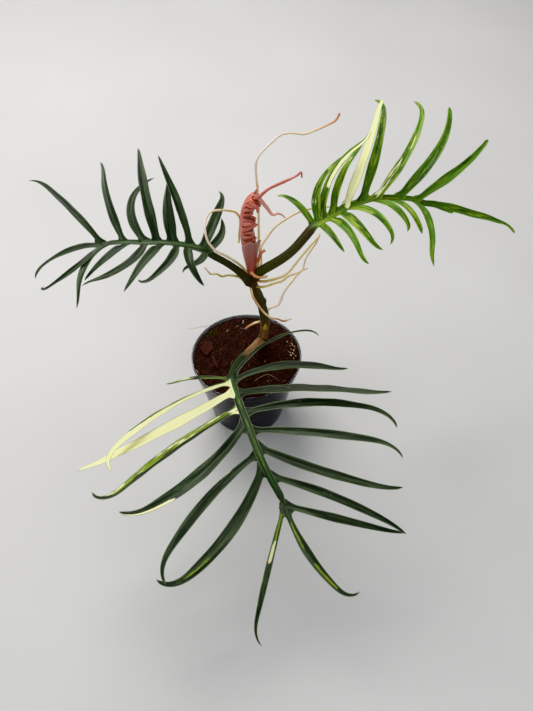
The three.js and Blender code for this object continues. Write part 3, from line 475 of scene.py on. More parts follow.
def leaf_frame(line, face, share):
    """Place, heading, blade normal and left-hand side of a leaf's line."""
    t = line.heading(share)
    face = np.asarray(face, float)
    n = unit(face - t * (t @ face)[..., None])
    return line.place(share), t, n, np.cross(n, t)


def right_frame(t):
    """The sides nearest to +X and to the front that stand square to the headings."""
    right = unit(np.array([1.0, 0, 0]) - t * t[:, :1])
    return right, np.cross(right, t)


def steady_frame(t):
    """Side and up for headings along a line, turning about it as little as they can."""
    side = np.zeros_like(t)
    side[0] = unit(np.cross(t[0], (0, 0, 1) if abs(t[0][2]) < 0.95 else (0, 1, 0)))
    for i in range(1, len(t)):
        side[i] = unit(side[i - 1] - t[i] * (side[i - 1] @ t[i]))
    return side, np.cross(t, side)


def carried(place, side, up, x, y):
    """A section carried along a line: each row's place plus x along its side and y along its up."""
    if place.ndim < 3:
        place = place[:, None]
    return place + x[..., None] * side[:, None] + y[..., None] * up[:, None]


def add_object(name, data):
    """A new object in the scene."""
    made = bpy.data.objects.new(name, data)
    bpy.context.scene.collection.objects.link(made)
    return made


class Skin:
    """Gathers closed grids of points, with their paint, into one mesh."""

    def __init__(self):
        self.points, self.quads, self.tris, self.paint, self.total = [], [], [], [], 0

    def put(self, points, quads, tris, paint):
        """Adds a closed block of points and faces, turned so that its volume is positive."""
        def corners(faces, a, b, c):
            a, b, c = (points[faces[:, k]] for k in (a, b, c))
            return np.einsum("ij,ij->", a, np.cross(b, c))

        if corners(tris, 0, 1, 2) + corners(quads, 0, 1, 2) + corners(quads, 0, 2, 3) < 0:
            quads, tris = quads[:, ::-1], tris[:, ::-1]
        self.points.append(points)
        self.quads.append(quads + self.total)
        self.tris.append(tris + self.total)
        self.paint.append({key: np.asarray(v, np.float32) for key, v in paint.items()})
        self.total += len(points)

    def grid(self, points, **paint):
        """Adds rows of rings: the last column joins the first, and fans close both ends. A paint is
        one value, one for each row or column, or one for each point."""
        rows, cols = points.shape[:2]
        index = np.arange(rows * cols).reshape(rows, cols)
        after = np.roll(index, -1, axis=1)
        quads = np.stack([index[:-1], after[:-1], after[1:], index[1:]], -1).reshape(-1, 4)
        first, last = np.full(cols, rows * cols), np.full(cols, rows * cols + 1)
        tris = np.vstack([np.stack([first, after[0], index[0]], -1),
                          np.stack([last, index[-1], after[-1]], -1)])
        layers = {}
        for key, value in paint.items():
            value = np.asarray(value, float)
            if value.ndim < 3:
                value = np.broadcast_to(value, (rows, cols))[..., None]
            layers[key] = np.vstack([value.reshape(rows * cols, -1), value[[0, -1]].mean(axis=1)])
        ends = points[[0, -1]].mean(axis=1)
        self.put(np.vstack([points.reshape(-1, 3), ends]), quads, tris, layers)

    def mesh(self, name):
        """The bare mesh, in metres."""
        mesh = bpy.data.meshes.new(name)
        faces = np.vstack(self.quads).tolist() + np.vstack(self.tris).tolist()
        mesh.from_pydata((np.vstack(self.points) * MM).tolist(), [], faces)
        return mesh

    def make(self, name, material, replaces=(), weld=False):
        """The mesh, its attributes and its object, riding on the one body."""
        mesh = self.mesh(name)
        for key in sorted({key for block in self.paint for key in block}):
            width = max(block[key].shape[1] for block in self.paint if key in block)
            values = np.vstack([block.get(key, np.zeros((len(points), width), np.float32))
                                for block, points in zip(self.paint, self.points)])
            kind, word = ("FLOAT_VECTOR", "vector") if width == 3 else ("FLOAT", "value")
            layer = mesh.attributes.new(key, kind, "POINT")
            layer.data.foreach_set(word, values.astype(np.float32).ravel())
        if weld:
            work = bmesh.new()
            work.from_mesh(mesh)
            bmesh.ops.remove_doubles(work, verts=work.verts, dist=1e-6)
            bmesh.ops.recalc_face_normals(work, faces=work.faces)
            work.to_mesh(mesh)
            work.free()
        mesh.shade_smooth()
        mesh.materials.append(material)
        piece = add_object(name, mesh)
        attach(piece, "root")
        if replaces:
            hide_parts(*replaces)
        return piece


def tube(skin, points, radii, step, columns, flat=1.0, knots=0.0, seed=0, blunt=1.0, **paint):
    """Round rod along a line, its radius read from radii and wavy by knots, with a rounded tip.

    A ring's point is the line's place plus the radius times cosine and sine of its angle. Over
    the last radius times blunt it falls to nothing, as the root of one less the square.
    """
    line = Line(points)
    end = radii[-1] * blunt
    body = np.linspace(0, line.length - end, max(3, int(line.length / step)))
    tip = line.length - end + end * np.sin(np.linspace(0, np.pi / 2, 7)[1:])
    far = np.append(body, tip)[:, None]
    share = far / line.length
    close = np.sqrt(np.clip(1 - (np.clip(far - (line.length - end), 0, None) / end) ** 2, 0, 1))
    angle = round_turn(columns)
    wave = knots * mottle(far / 4.5 + 7 * seed, angle / np.pi * 2 + seed, seed)
    x, y = polar(along(radii, share) * close * (1 + wave), angle)
    side, up = steady_frame(line.heading(share[:, 0]))
    skin.grid(carried(line.place(share[:, 0]), side, up, x, y * flat),
              grain=together(far, angle * radii[0], float(seed)), reach=share, **paint)


def rgb(red, green, blue):
    """A colour given as on a screen, 0 to 255, in the linear scale that shaders use."""
    c = np.array([red, green, blue]) / 255
    return (*np.where(c <= 0.04045, c / 12.92, ((c + 0.055) / 1.055) ** 2.4).tolist(), 1.0)


class Paint:
    """A material, and the laying of its nodes. Colours are three numbers, as on a screen."""

    def __init__(self, name, flesh=None, **sockets):
        """Flesh: how much light scatters under the skin, and how far its red, green and blue."""
        self.material = bpy.data.materials.new(name)
        self.material.use_nodes = True
        self.tree = self.material.node_tree
        if flesh:
            sockets.update(Subsurface_Weight=flesh[0], Subsurface_Radius=flesh[1:],
                           Subsurface_Scale=MM)
        self.set(**sockets)

    def join(self, socket, value):
        """Feeds a socket from another one, or sets its own value."""
        if isinstance(value, bpy.types.NodeSocket):
            self.tree.links.new(value, socket)
        else:
            socket.default_value = value

    def set(self, **sockets):
        """Feeds the shader's sockets, named with _ for a space."""
        for key, value in sockets.items():
            self.join(self.tree.nodes["Principled BSDF"].inputs[key.replace("_", " ")], value)

    def node(self, kind, inputs, out=0, **settings):
        """A node with its inputs and settings; gives one of its outputs."""
        node = self.tree.nodes.new("ShaderNode" + kind)
        for key, value in settings.items():
            setattr(node, key, value)
        for key, value in inputs.items():
            self.join(node.inputs[key], value)
        return node.outputs[out]

    def paint(self, name, out="Fac"):
        """A paint that the mesh carries."""
        return self.node("Attribute", {}, out, attribute_name=name)

    def grain(self, length, across, number=1):
        """The surface's own coordinates: along, across and the piece's number, scaled."""
        return self.node("Mapping", {"Vector": self.paint("grain", "Vector"),
                                     "Scale": (length, across, number)})

    def space(self, *scale):
        """Object coordinates in millimetres, scaled by one number or by three."""
        scale = [1000 * s for s in (scale * 3)[:3]]
        return self.node("Mapping", {"Vector": self.node("TexCoord", {}, "Object"), "Scale": scale})

    def noise(self, coords, detail=3.0, rough=0.5):
        """Soft random height from 0 to 1, one lump to a unit, with finer ones on it."""
        return self.node("TexNoise", {"Vector": coords, "Scale": 1.0, "Detail": detail,
                                      "Roughness": rough})

    def ramp(self, value, *stops):
        """Colour by a value: each stop is its place and its red, green and blue."""
        node = self.tree.nodes.new("ShaderNodeValToRGB")
        stock = node.color_ramp.elements
        for stop in stops[len(stock):]:
            stock.new(stop[0])
        for element, (at, *colour) in zip(stock, stops):
            element.position, element.color = at, rgb(*colour)
        self.join(node.inputs[0], value)
        return node.outputs[0]

    def mix(self, share, first, second, kind="MIX"):
        """From the first colour to the second by a share."""
        first, second = (rgb(*c) if isinstance(c, tuple) else c for c in (first, second))
        return self.node("Mix", {0: share, 6: first, 7: second}, 2, data_type="RGBA",
                         blend_type=kind)

    def math(self, kind, first, second, third=0.0):
        """One step of arithmetic with two or three values."""
        return self.node("Math", {0: first, 1: second, 2: third}, operation=kind)

    def spread(self, value, low, high, to_low=0.0, to_high=1.0):
        """Eased step of a value from low to high."""
        return self.node("MapRange", {"Value": value, "From Min": low, "From Max": high,
                                      "To Min": to_low, "To Max": to_high},
                         interpolation_type="SMOOTHSTEP")

    def done(self, colour, rough, height=None, depth=0.0):
        """The finished material; a height gives it a bump of depth millimetres."""
        self.set(Base_Color=colour, Roughness=rough)
        if height is not None:
            self.set(Normal=self.node("Bump", {"Height": height, "Distance": depth * MM,
                                               "Strength": 1.0}))
        return self.material


def leaf_finish(name, dark, mid, pale, margin, stalk_low, stalk_high, rib):
    """Satin leaf skin: long fine streaks of green, pale margins and fold, painted shade over one
    half of each lobe, and patches where the green gives way to lime, cream or rust along ragged
    streaks, one narrow cream patch on the front leaf's rib being a painted highlight. The stalk's
    colour runs from brown at its foot through stalk_low to stalk_high."""
    p = Paint(name, (0.05, 0.6, 1.0, 0.25), Coat_Weight=0.05, Coat_Roughness=0.4,
              Specular_IOR_Level=0.3)
    fine = p.noise(p.grain(0.02, 0.38), 6.0, 0.74)
    broad = p.noise(p.grain(0.03, 0.16), 2.0)
    specks = p.noise(p.grain(0.3, 1.1, 5), 4.0, 0.7)
    streak = p.noise(p.grain(0.04, 0.7, 1.7), 4.0, 0.65)
    fleck = p.noise(p.grain(0.05, 0.5, 2.9), 5.0, 0.75)

    def patch(amount, ragged, low, high):
        """Eased step where the paint's amount and the streak's height together pass a level."""
        wobble = p.math("MULTIPLY_ADD", ragged, 2.2, -1.1)
        return p.spread(p.math("ADD", p.paint(amount), wobble), low, high)

    colour = p.ramp(fine, (0.42, *dark), (0.5, *mid), (0.59, *pale))
    colour = p.mix(p.spread(broad, 0.35, 0.7, 0.0, 0.3), colour, pale)
    colour = p.mix(p.spread(specks, 0.62, 0.78, 0.0, 0.5), colour, pale)
    # Painted shade: one half of each lobe is darkened towards dark
    colour = p.mix(p.math("MULTIPLY", p.paint("shade"), 0.4), colour, dark)
    lime = p.ramp(fleck, (0.3, 100, 132, 22), (0.7, 158, 178, 66))
    cream = p.ramp(streak, (0.3, 248, 246, 176), (0.7, 255, 254, 208))
    colour = p.mix(patch("lime", fleck, 0.42, 0.66), colour, lime)
    colour = p.mix(patch("cream", streak, 0.42, 0.58), colour, cream)
    colour = p.mix(patch("leaf", streak, 0.5, 0.7), colour, p.mix(0.5, mid, lime))
    colour = p.mix(p.math("MULTIPLY", p.paint("edge"), 0.85), colour, margin)
    rib_colour = p.mix(p.spread(fleck, 0.3, 0.7), rib, p.mix(0.4, rib, margin))
    colour = p.mix(p.paint("rib"), colour, rib_colour)
    colour = p.mix(p.paint("rust"), colour, (170, 130, 40))
    bark = p.noise(p.grain(0.03, 1.8), 4.0, 0.65)
    stalk = p.ramp(p.paint("reach"), (0.04, 52, 34, 20), (0.13, *stalk_low), (0.3, *stalk_low),
                   (0.7, *stalk_high))
    stalk = p.mix(p.spread(bark, 0.4, 0.8, 0.0, 0.5), stalk, p.mix(0.35, stalk, margin))
    colour = p.mix(p.paint("stalk"), colour, stalk)
    veins = p.noise(p.grain(0.02, 2.6), 3.0, 0.6)
    return p.done(colour, p.spread(fine, 0.2, 0.8, 0.46, 0.62), veins, 0.16)


def new_leaf_finish():
    """Glossy young tissue: pink on the crests, orange-brown in the creases and darker there as
    painted shade, paler on the arms.
    """
    p = Paint("young_pink", (0.15, 1.0, 0.4, 0.25), Coat_Weight=0.5, Coat_Roughness=0.22)
    mottled = p.noise(p.grain(0.22, 0.5), 4.0, 0.6)
    crest = p.ramp(mottled, (0.3, 198, 96, 80), (0.7, 226, 142, 124))
    # Creases: orange-brown, and darker than the crests as painted shade
    crease = p.ramp(mottled, (0.3, 92, 28, 14), (0.7, 138, 60, 32))
    colour = p.mix(p.spread(p.paint("crease"), 0.15, 0.8), crest, crease)
    colour = p.mix(p.paint("tan"), colour, p.mix(mottled, (150, 74, 40), (196, 110, 70)))
    colour = p.mix(p.paint("white"), colour, (240, 184, 164))
    colour = p.mix(p.paint("red"), colour, p.mix(mottled, (178, 76, 66), (220, 134, 118)))
    return p.done(colour, p.spread(mottled, 0.3, 0.7, 0.26, 0.42), p.noise(p.grain(0.3, 2.0)), 0.18)


def sheath_finish():
    """Thin mauve skin with fine lines along it, paler at its top edge."""
    p = Paint("mauve_sheath", (0.15, 1.0, 0.5, 0.5), Coat_Weight=0.1, Coat_Roughness=0.3)
    lines = p.noise(p.grain(0.05, 0.5), 4.0, 0.6)
    low = p.ramp(lines, (0.3, 172, 92, 80), (0.7, 188, 108, 96))
    high = p.ramp(lines, (0.3, 164, 112, 106), (0.7, 182, 130, 122))
    colour = p.mix(p.spread(p.paint("reach"), 0.1, 0.9), low, high)
    return p.done(p.mix(p.paint("edge"), colour, (226, 176, 158)), 0.42, lines, 0.08)


def root_finish():
    """Matt root skin, with its colour from the root's own paint and a faint brown grit."""
    p = Paint("root_skin", (0.12, 1.0, 0.7, 0.4))
    grit = p.noise(p.grain(0.5, 1.6), 4.0, 0.6)
    colour = p.paint("colour", "Vector")
    browned = p.mix(1.0, colour, (206, 172, 124), "MULTIPLY")
    colour = p.mix(p.spread(grit, 0.35, 0.75, 0.0, 0.25), colour, browned)
    return p.done(colour, p.spread(grit, 0.3, 0.7, 0.48, 0.66), grit, 0.12)


def stem_finish():
    """Tan-brown bark with long striations and leaf scars, turning green-brown upwards."""
    p = Paint("stem_bark")
    lines = p.noise(p.grain(0.035, 1.5), 5.0, 0.65)
    blotch = p.noise(p.grain(0.12, 0.3))
    low = p.ramp(lines, (0.38, 86, 58, 38), (0.5, 138, 102, 72), (0.64, 184, 148, 112))
    high = p.ramp(lines, (0.34, 38, 34, 16), (0.52, 64, 60, 28), (0.7, 100, 94, 50))
    top = p.ramp(lines, (0.3, 40, 26, 14), (0.52, 66, 44, 26), (0.75, 98, 70, 44))
    colour = p.mix(p.spread(p.paint("reach"), 0.42, 0.52), low, high)
    colour = p.mix(p.spread(p.paint("reach"), 0.82, 0.9), colour, top)
    colour = p.mix(p.spread(blotch, 0.58, 0.75, 0.0, 0.3), colour, (80, 54, 36))
    colour = p.mix(p.paint("scar"), colour, (66, 42, 26))
    colour = p.mix(p.paint("bud"), colour, (168, 160, 72))
    return p.done(colour, p.spread(lines, 0.3, 0.7, 0.5, 0.7), lines, 0.35)


def bract_finish():
    """Dry papery skin, pinkish tan with fine darker lines along it."""
    p = Paint("dry_paper")
    lines = p.noise(p.grain(0.04, 1.0), 5.0, 0.7)
    colour = p.ramp(lines, (0.38, 86, 58, 38), (0.5, 142, 106, 74), (0.62, 190, 156, 120))
    return p.done(colour, 0.62, lines, 0.3)


def bark_finish():
    """Rough dry husk, reddish brown with darker pits and paler fibres along it."""
    p = Paint("husk_bark")
    fibre = p.noise(p.grain(0.16, 1.1), 5.0, 0.65)
    pits = p.noise(p.space(0.6), 4.0)
    colour = p.ramp(fibre, (0.3, 42, 19, 15), (0.55, 70, 34, 27), (0.8, 104, 62, 48))
    return p.done(p.mix(p.spread(pits, 0.5, 0.7, 0.0, 0.6), colour, (40, 18, 14)), 0.82, fibre, 0.5)


def soil_finish():
    """Wet coir: near-black red-brown grains with paler specks of fibre."""
    p = Paint("wet_coir", Specular_IOR_Level=0.35)
    grains = p.noise(p.space(1.5), 5.0, 0.7)
    specks = p.node("TexVoronoi", {"Vector": p.space(1.1), "Scale": 1.0}, "Distance")
    colour = p.ramp(grains, (0.3, 14, 4, 3), (0.52, 38, 15, 10), (0.74, 76, 38, 26))
    colour = p.mix(p.spread(specks, 0.05, 0.18, 0.5, 0.0), colour, (122, 76, 54))
    clods = p.noise(p.space(0.9), 6.0, 0.75)
    return p.done(colour, p.spread(grains, 0.3, 0.7, 0.55, 0.9), clods, 1.1)


def toned_finish(name, dark, pale, rough, relief):
    """One stuff whose bits differ in tone, from dark to pale, with a fine grit on each."""
    p = Paint(name)
    grit = p.noise(p.space(2.2), 4.0, 0.7)
    tone = p.math("MULTIPLY_ADD", grit, 0.5, p.paint("tone"))
    return p.done(p.ramp(tone, (0.25, *dark), (1.1, *pale)), rough, grit, relief)


def pot_finish():
    """Thin clear plastic, glossy, with faint scuffs; its dark colour and low see-through are
    partly a light smoke tint and partly painted shade of the wall.
    """
    p = Paint("clear_plastic_with_painted_shade", Specular_IOR_Level=0.6, Coat_Weight=0.3, Coat_Roughness=0.06,
              Alpha=0.66)
    scuffs = p.noise(p.space(0.02, 0.02, 0.6))
    # Dark smoke colour: partly the plastic's own tint, partly painted shade
    return p.done(rgb(38, 34, 42), p.spread(scuffs, 0.35, 0.7, 0.1, 0.24))


def floor_finish():
    """Plain pale studio floor with a faint unevenness."""
    p = Paint("pale_floor", Specular_IOR_Level=0.2)
    cloud = p.noise(p.space(0.004), 2.0)
    return p.done(p.ramp(cloud, (0.3, 208, 207, 205), (0.7, 214, 213, 211)), 0.85)


def painted(patches, what, number, share, across):
    """How much of one paint a lobe has: the largest of its patches' soft-edged windows."""
    amount = np.zeros(np.broadcast(share, across).shape)
    for kind, lobe, u0, u1, q0, q1, much in patches:
        if kind == what and lobe == number:
            patch = window(share, u0, u1, PATCH_SOFT_U) * window(across, q0, q1, PATCH_SOFT_Q)
            amount = np.maximum(amount, much * patch)
    return amount


def lobe_path(leaf, midrib, row):
    """A lobe's middle line, as a sum of short steps.

    Its bearing from the midrib is spread less turn times the share, less hook times the square of
    the share of the last quarter. Its rise is lift less droop times the share. Near its foot the
    rise is eased to the slope of the midrib's wing, which lies lift degrees up sideways.
    """
    p, t, n, w = (v[0] for v in leaf_frame(midrib, leaf["face"], np.array([row["at"]])))
    u = (np.arange(FINE_STEPS) + 0.5) / FINE_STEPS
    hook = row["hook"] * np.clip((u - HOOK_FROM) / (1 - HOOK_FROM), 0, None) ** 2
    bearing = np.radians(row["spread"] - row["turn"] * u - hook)
    rise = np.radians(row["lift"] - row["droop"] * u)
    foot = 1 - smooth((u * row["length"] - ROOT_FLAT) / ROOT_EASE)
    rise = rise + foot * (np.arctan(np.tan(rise) * np.abs(np.sin(bearing))) - rise)
    ahead, aside = polar(np.cos(rise), bearing)
    steps = np.outer(ahead, t) + row["side"] * np.outer(aside, w) + np.outer(np.sin(rise), n)
    path = p + np.vstack([np.zeros(3), np.cumsum(steps, axis=0)]) * row["length"] / FINE_STEPS
    return path, steps, t, n, abs(np.sin(bearing[0]))


def lobe_halves(leaf, number, row, far, wing):
    """Half the width of a lobe's blade, and of the web at its foot.

    The blade's is half the row's width, from 0.63 of it at the foot to all of it at full_at of the
    way, then less by taper times the rest of the way to the power ease, which has one value for
    lobes up to 60 mm and one from 110 mm on. It wavers a little, and its end narrows to a tenth
    over the last 5.5 mm. The web falls off from the wing as a power of the distance.
    """
    share = far / row["length"]
    past = np.clip((share - leaf["full_at"]) / (1 - leaf["full_at"]), 0, 1)
    body = row["width"] / 2 * (ROOT_W + (1 - ROOT_W) * smooth(share / leaf["full_at"]))
    body = body * (1 - leaf["taper"] * past ** np.interp(row["length"], EASE_LENGTHS, leaf["ease"]))
    body = np.maximum(body * (1 + WIDTH_WAVER * mottle(far / 20, number, 5)), LEAST_HALF)
    close = np.clip((row["length"] - far) / BLUNT_END, 0, 1)
    body = body * np.maximum((1 - (1 - close) ** 2) ** 0.7, 0.1)
    return body, leaf["web"] * np.clip(1 - (far - wing) / leaf["web_reach"], 0, 1) ** 2.4


def add_lobe(skin, leaf, midrib, number, row, patches, rng):
    """One lobe: a thin folded blade with a web at its foot and a fine curled tip.

    Both halves rise from the fold by its slope, and the edges waver as sines of the distance.
    Near the midrib the section leans into the midrib's direction, so that the web lies in the
    wing's plane. Each lobe has one half darkened by painted shade: a random half, or the leaf's
    own shaded_half for the lobes on its left.
    """
    path, steps, t, n, slant = lobe_path(leaf, midrib, row)
    length, side = row["length"], row["side"]
    far = np.concatenate([np.linspace(0, 14, 15), np.arange(16, length - TIP_SPAN, 2.4),
                          length - TIP_SPAN + TIP_SPAN * np.linspace(0, 1, 9)[1:] ** 0.9])
    far = np.clip(far, 0, length * 0.999)[:, None]
    share = far / length
    fine = np.linspace(0, 1, FINE_STEPS + 1)
    centre = read_rows(share[:, 0], fine, path)
    heading = unit(read_rows(share[:, 0], (fine[1:] + fine[:-1]) / 2, steps))
    up = unit(n - heading * (heading @ n)[:, None])
    fore = -side * np.cross(up, heading)
    # Lean of the section towards the midrib near the foot
    lean = (1 - smooth((far - ROOT_FLAT) / ROOT_TURN)) * smooth((slant - 0.3) / 0.4)
    skew = unit(fore * (1 - lean) + t * lean)
    stretch = 1 / np.clip(np.einsum("ij,ij->i", skew, fore), 0.5, 1)[:, None]
    up = np.cross(heading, skew)
    up = unit(up * np.sign(up @ n)[:, None])
    # A slow twist of the blade about its middle line
    twist = (rng.uniform(-TWIST, TWIST) * smooth((far - 18) / 30)
             * np.sin(share * rng.uniform(2.5, 5.5) + rng.uniform(0, 6)))
    up, skew = turned(up, skew, twist)
    wing = along(leaf["wing"], row["at"]) / max(slant, 0.55)
    body, web = lobe_halves(leaf, number, row, far, wing)
    # Section: q runs from -1, the stalk side, to 1, the tip side, over the top and back
    q = np.sin(np.linspace(-np.pi / 2, np.pi / 2, 13))[None]
    q = out_and_back(q, q)
    top = np.arange(q.size) < 13
    spur = smooth((share - SPUR_SPAN[0]) / (SPUR_SPAN[1] - SPUR_SPAN[0])) * (share < SPUR_SPAN[1])
    half = (body + web) * stretch + row.get("spur", 0) * spur * (q > 0)
    x = half * q
    thick = (EDGE_T + (BLADE_T - EDGE_T) * bell(x, 0, 1.6)) / 2
    thick = thick * np.sqrt(1 - q ** 8) * np.clip(half / 1.2, 0.35, 1)
    # The blade folds up past the wing, and flattens again towards the tip
    folded = smooth((far - wing) / 12) * (1 - 0.5 * smooth((share - 0.6) / 0.4))
    y = body * FOLD * folded * (np.sqrt(q ** 2 + 0.012) - 0.11)
    y = y + CROWN * body * np.sin(np.pi * np.abs(q)) * folded
    phase = rng.uniform(0, 6, 2)
    beat = np.where(q > 0, np.sin(far / rng.uniform(4.0, 6.5) + phase[0]),
                    np.sin(far / rng.uniform(4.0, 6.5) + phase[1]))
    y = y + EDGE_WAVER * beat * q ** 2 * smooth((far - 14) / 20)
    y = y - WEB_SINK * (1 - smooth((far - wing + 0.6) / 1.6))
    past_wing = smooth((far - wing) / 8)
    keel = KEEL_H * bell(x, 0, 0.55) * ~top * past_wing * (1 - share)
    groove = GROOVE_H * bell(x, 0, 0.35) * top * past_wing
    y = y + np.where(top, thick, -thick) - keel - groove
    vein = VEIN_PAINT * bell(x, 0, 0.22) * top * (1 - smooth((share - 0.5) / 0.4))
    edge = smooth((np.abs(x) - half + 0.66) / 0.44)
    # Painted shade: one half of the lobe, a random one or the leaf's own, is darkened as if shaded
    # by the fold
    shaded_half, depth = rng.choice((-1, 1)), rng.uniform(0.25, 1)
    if side > 0 and "shaded_half" in leaf:
        shaded_half, depth = leaf["shaded_half"], SHADE_DEPTH
    shade = smooth(2.2 * q * shaded_half + 0.5) * depth * top
    paints = {what: painted(patches, what, number, share, q) for what in ("lime", "cream", "leaf")}
    skin.grid(carried(centre, skew, up, x, y), grain=together(far, x, 13.7 * number + 1),
              edge=np.maximum(edge, vein), shade=shade, **paints)


def add_stalk(skin, leaf, midrib, patches):
    """Petiole and winged midrib in one sweep.

    The petiole's section is a circle with a shallow groove on top. Over 12 mm it eases into the
    midrib's: two thin wings that rise sideways by the wing's lift, a rounded rib along their
    valley and a keel under it. The rib's own colour fades along it and near its end, and where
    a patch of cream or lime lies over it.
    """
    whole = Line(leaf["petiole"][:-1] + leaf["midrib"])
    stalk_length = whole.length - midrib.length
    far = np.concatenate([np.arange(0, whole.length - STALK_END, 1.7),
                          np.linspace(whole.length - STALK_END, whole.length, 9)])[:, None]
    p, t, n, w = leaf_frame(whole, leaf["face"], far[:, 0] / whole.length)
    past = far - stalk_length
    on_stalk, on_rib = np.clip(far / stalk_length, 0, 1), np.clip(past / midrib.length, 0, 1)
    turn = smooth((past + 5) / 12)
    angle = round_turn(64)
    radius = along(leaf["petiole_r"], on_stalk) * (1 + FOOT_SWELL * (1 - smooth(far / 10)))
    lines = 0.05 * np.sin(11 * angle) + 0.03 * np.sin(19 * angle + 0.05 * far)
    cx, cy = polar(radius - STALK_GROOVE * bell(angle, np.pi / 2, 0.3) + lines, angle)
    end = 1 - 0.6 * smooth((past - midrib.length + 9) / 9)
    wing = along(leaf["wing"], on_rib) * end
    wx = wing * np.cos(angle)
    top = np.sin(angle) >= 0
    slope = np.where(wx > 0, *np.tan(np.radians(leaf["wing_lift"])))
    thick = 0.42 * np.sqrt(np.clip(1 - np.cos(angle) ** 8, 0, 1))
    rib = 0.8 * bell(wx, 0, 1.15) * (1 - 0.45 * on_rib) * top
    keel = (1.5 + 1.6 * (1 - smooth(past / 22)) - 0.5 * on_rib) * bell(wx, 0, 1.9) * ~top * end
    wy = slope * (np.sqrt(wx ** 2 + 0.5) - 0.7) + np.where(top, thick, -thick) + rib - keel
    x, y = cx + (wx - cx) * turn, cy + (wy - cy) * turn
    paints = {what: painted(patches, what, "rib", on_rib, np.cos(angle)) * turn * top
              for what in ("lime", "cream", "rust")}
    rib_paint = turn * bell(wx, 0, leaf["rib_reach"]) * top * (1 - leaf["rib_fade"] * on_rib)
    rib_paint = rib_paint * (1 - 0.85 * smooth((on_rib - 0.8) / 0.16))
    rib_paint = np.clip(rib_paint - paints["cream"] - 0.8 * paints["lime"], 0, 1)
    edge = smooth((np.abs(wx) - wing + 0.6) / 0.4) * turn
    skin.grid(carried(p, w, n, x, y), grain=together(far, angle * radius.mean(), 3.1),
              stalk=1 - turn, edge=edge, rib=rib_paint, reach=on_stalk, **paints)


def make_leaf(name, leaf, patches, finish, nodes, seed):
    """A whole leaf in one mesh: its stalk and all its lobes."""
    rng = np.random.default_rng(seed)
    midrib = Line(leaf["midrib"])
    skin = Skin()
    add_stalk(skin, leaf, midrib, patches)
    for number, row in enumerate(leaf["lobes"]):
        add_lobe(skin, leaf, midrib, number, row, patches, rng)
    return skin.make(name, finish, nodes)


def make_stem(finish):
    """Stem: a round section whose radius swells at the nodes, with ring scars and striations."""
    line = Line(STEM_LINE)
    far = np.linspace(0, line.length, 190)[:, None]
    share = far / line.length
    place = line.place(share[:, 0])
    z, angle = place[:, 2:], round_turn(56)
    radius = np.where(z < SOIL_Z, STEM_FOOT_R, STEM_R)
    scar = np.zeros((z.size, angle.size))
    for k, node in enumerate(STEM_NODES):
        level = z + 1.1 * np.sin(angle + 1.9 * k)
        radius = radius + NODE_SWELL * bell(z, node, NODE_REACH)
        scar = scar + bell(level, node + 1.2, 0.7) + 0.5 * bell(level, node - 1.2, 0.5)
        radius = radius + 0.3 * bell(level, node, 0.8) - 0.25 * bell(level, node + 1.2, 0.6)
    for height in STEM_RINGS:
        ring = bell(z + 0.6 * np.sin(angle + height), height, 0.45)
        scar, radius = scar + 0.5 * ring, radius - 0.12 * ring
    radius = radius + 0.1 * np.sin(9 * angle + 0.02 * far) + 0.07 * np.sin(16 * angle - 0.03 * far)
    radius = radius + 0.22 * mottle(far / 9, angle / np.pi * 3, 11)
    side, up = steady_frame(line.heading(share[:, 0]))
    skin = Skin()
    skin.grid(carried(place, side, up, *polar(radius, angle)), scar=np.clip(scar, 0, 1),
              grain=together(far, STEM_R * angle, 1.0), reach=share)
    # Bud: three pointed scales, one over another
    x, y, z = BUD_AT
    for k, (grow, drop) in enumerate(BUD_SCALES):
        size = BUD_R * grow
        tube(skin, [(x, y + 0.7, z - 3 + drop), (x + 0.1 * k, y - 0.5, z - 1 + drop),
                    (x + 0.2 * k, y - 0.8, z + 1 + drop), (x + 0.3, y - 0.2, z + 2.6 + drop)],
             (size * 0.7, size, size * 0.85, size * 0.3), 0.4, 16, 1.0, 0.06, k, bud=1.0)
    return skin.make("stem_and_bud", finish, ["stem"])


def make_bract(finish):
    """Dry bract: an open shell round the top of the front petiole, narrowing to a point.

    Its outer arc runs over the petiole from one edge to the other, and its inner arc runs back
    under it. Both curl out a little at the edges, and the end rises off the petiole.
    """
    v = np.linspace(0, 1, 70)[:, None]
    share = BRACT_SPAN[0] + (BRACT_SPAN[1] - BRACT_SPAN[0]) * v
    p, t, n, w = leaf_frame(Line(FRONT_LEAF["petiole"] + [BRACT_END]), BRACT_FACE, share[:, 0])
    inner = along(FRONT_LEAF["petiole_r"], share) + BRACT_GAP
    q = np.linspace(-1, 1, 27)[None]
    crinkle = 0.2 * mottle(v * 9, q * 5, 21) + 0.13 * np.sin(q * 17 + 4 * v)
    stand = inner + 0.5 * np.abs(q) ** 4 * (1 - v) + crinkle + 1.3 * smooth((v - 0.7) / 0.3) ** 2
    angle = np.radians(along(BRACT_SWEEP, v)) * q
    angle = out_and_back(angle, angle)
    rise, aside = polar(out_and_back(stand + BRACT_T * np.sqrt(1 - q ** 10), stand), angle)
    skin = Skin()
    skin.grid(carried(p, w, n, aside, rise), grain=together(v * 34, 4.5 * angle, 2.0))
    return skin.make("papery_bract", finish, ["dry_bract"])


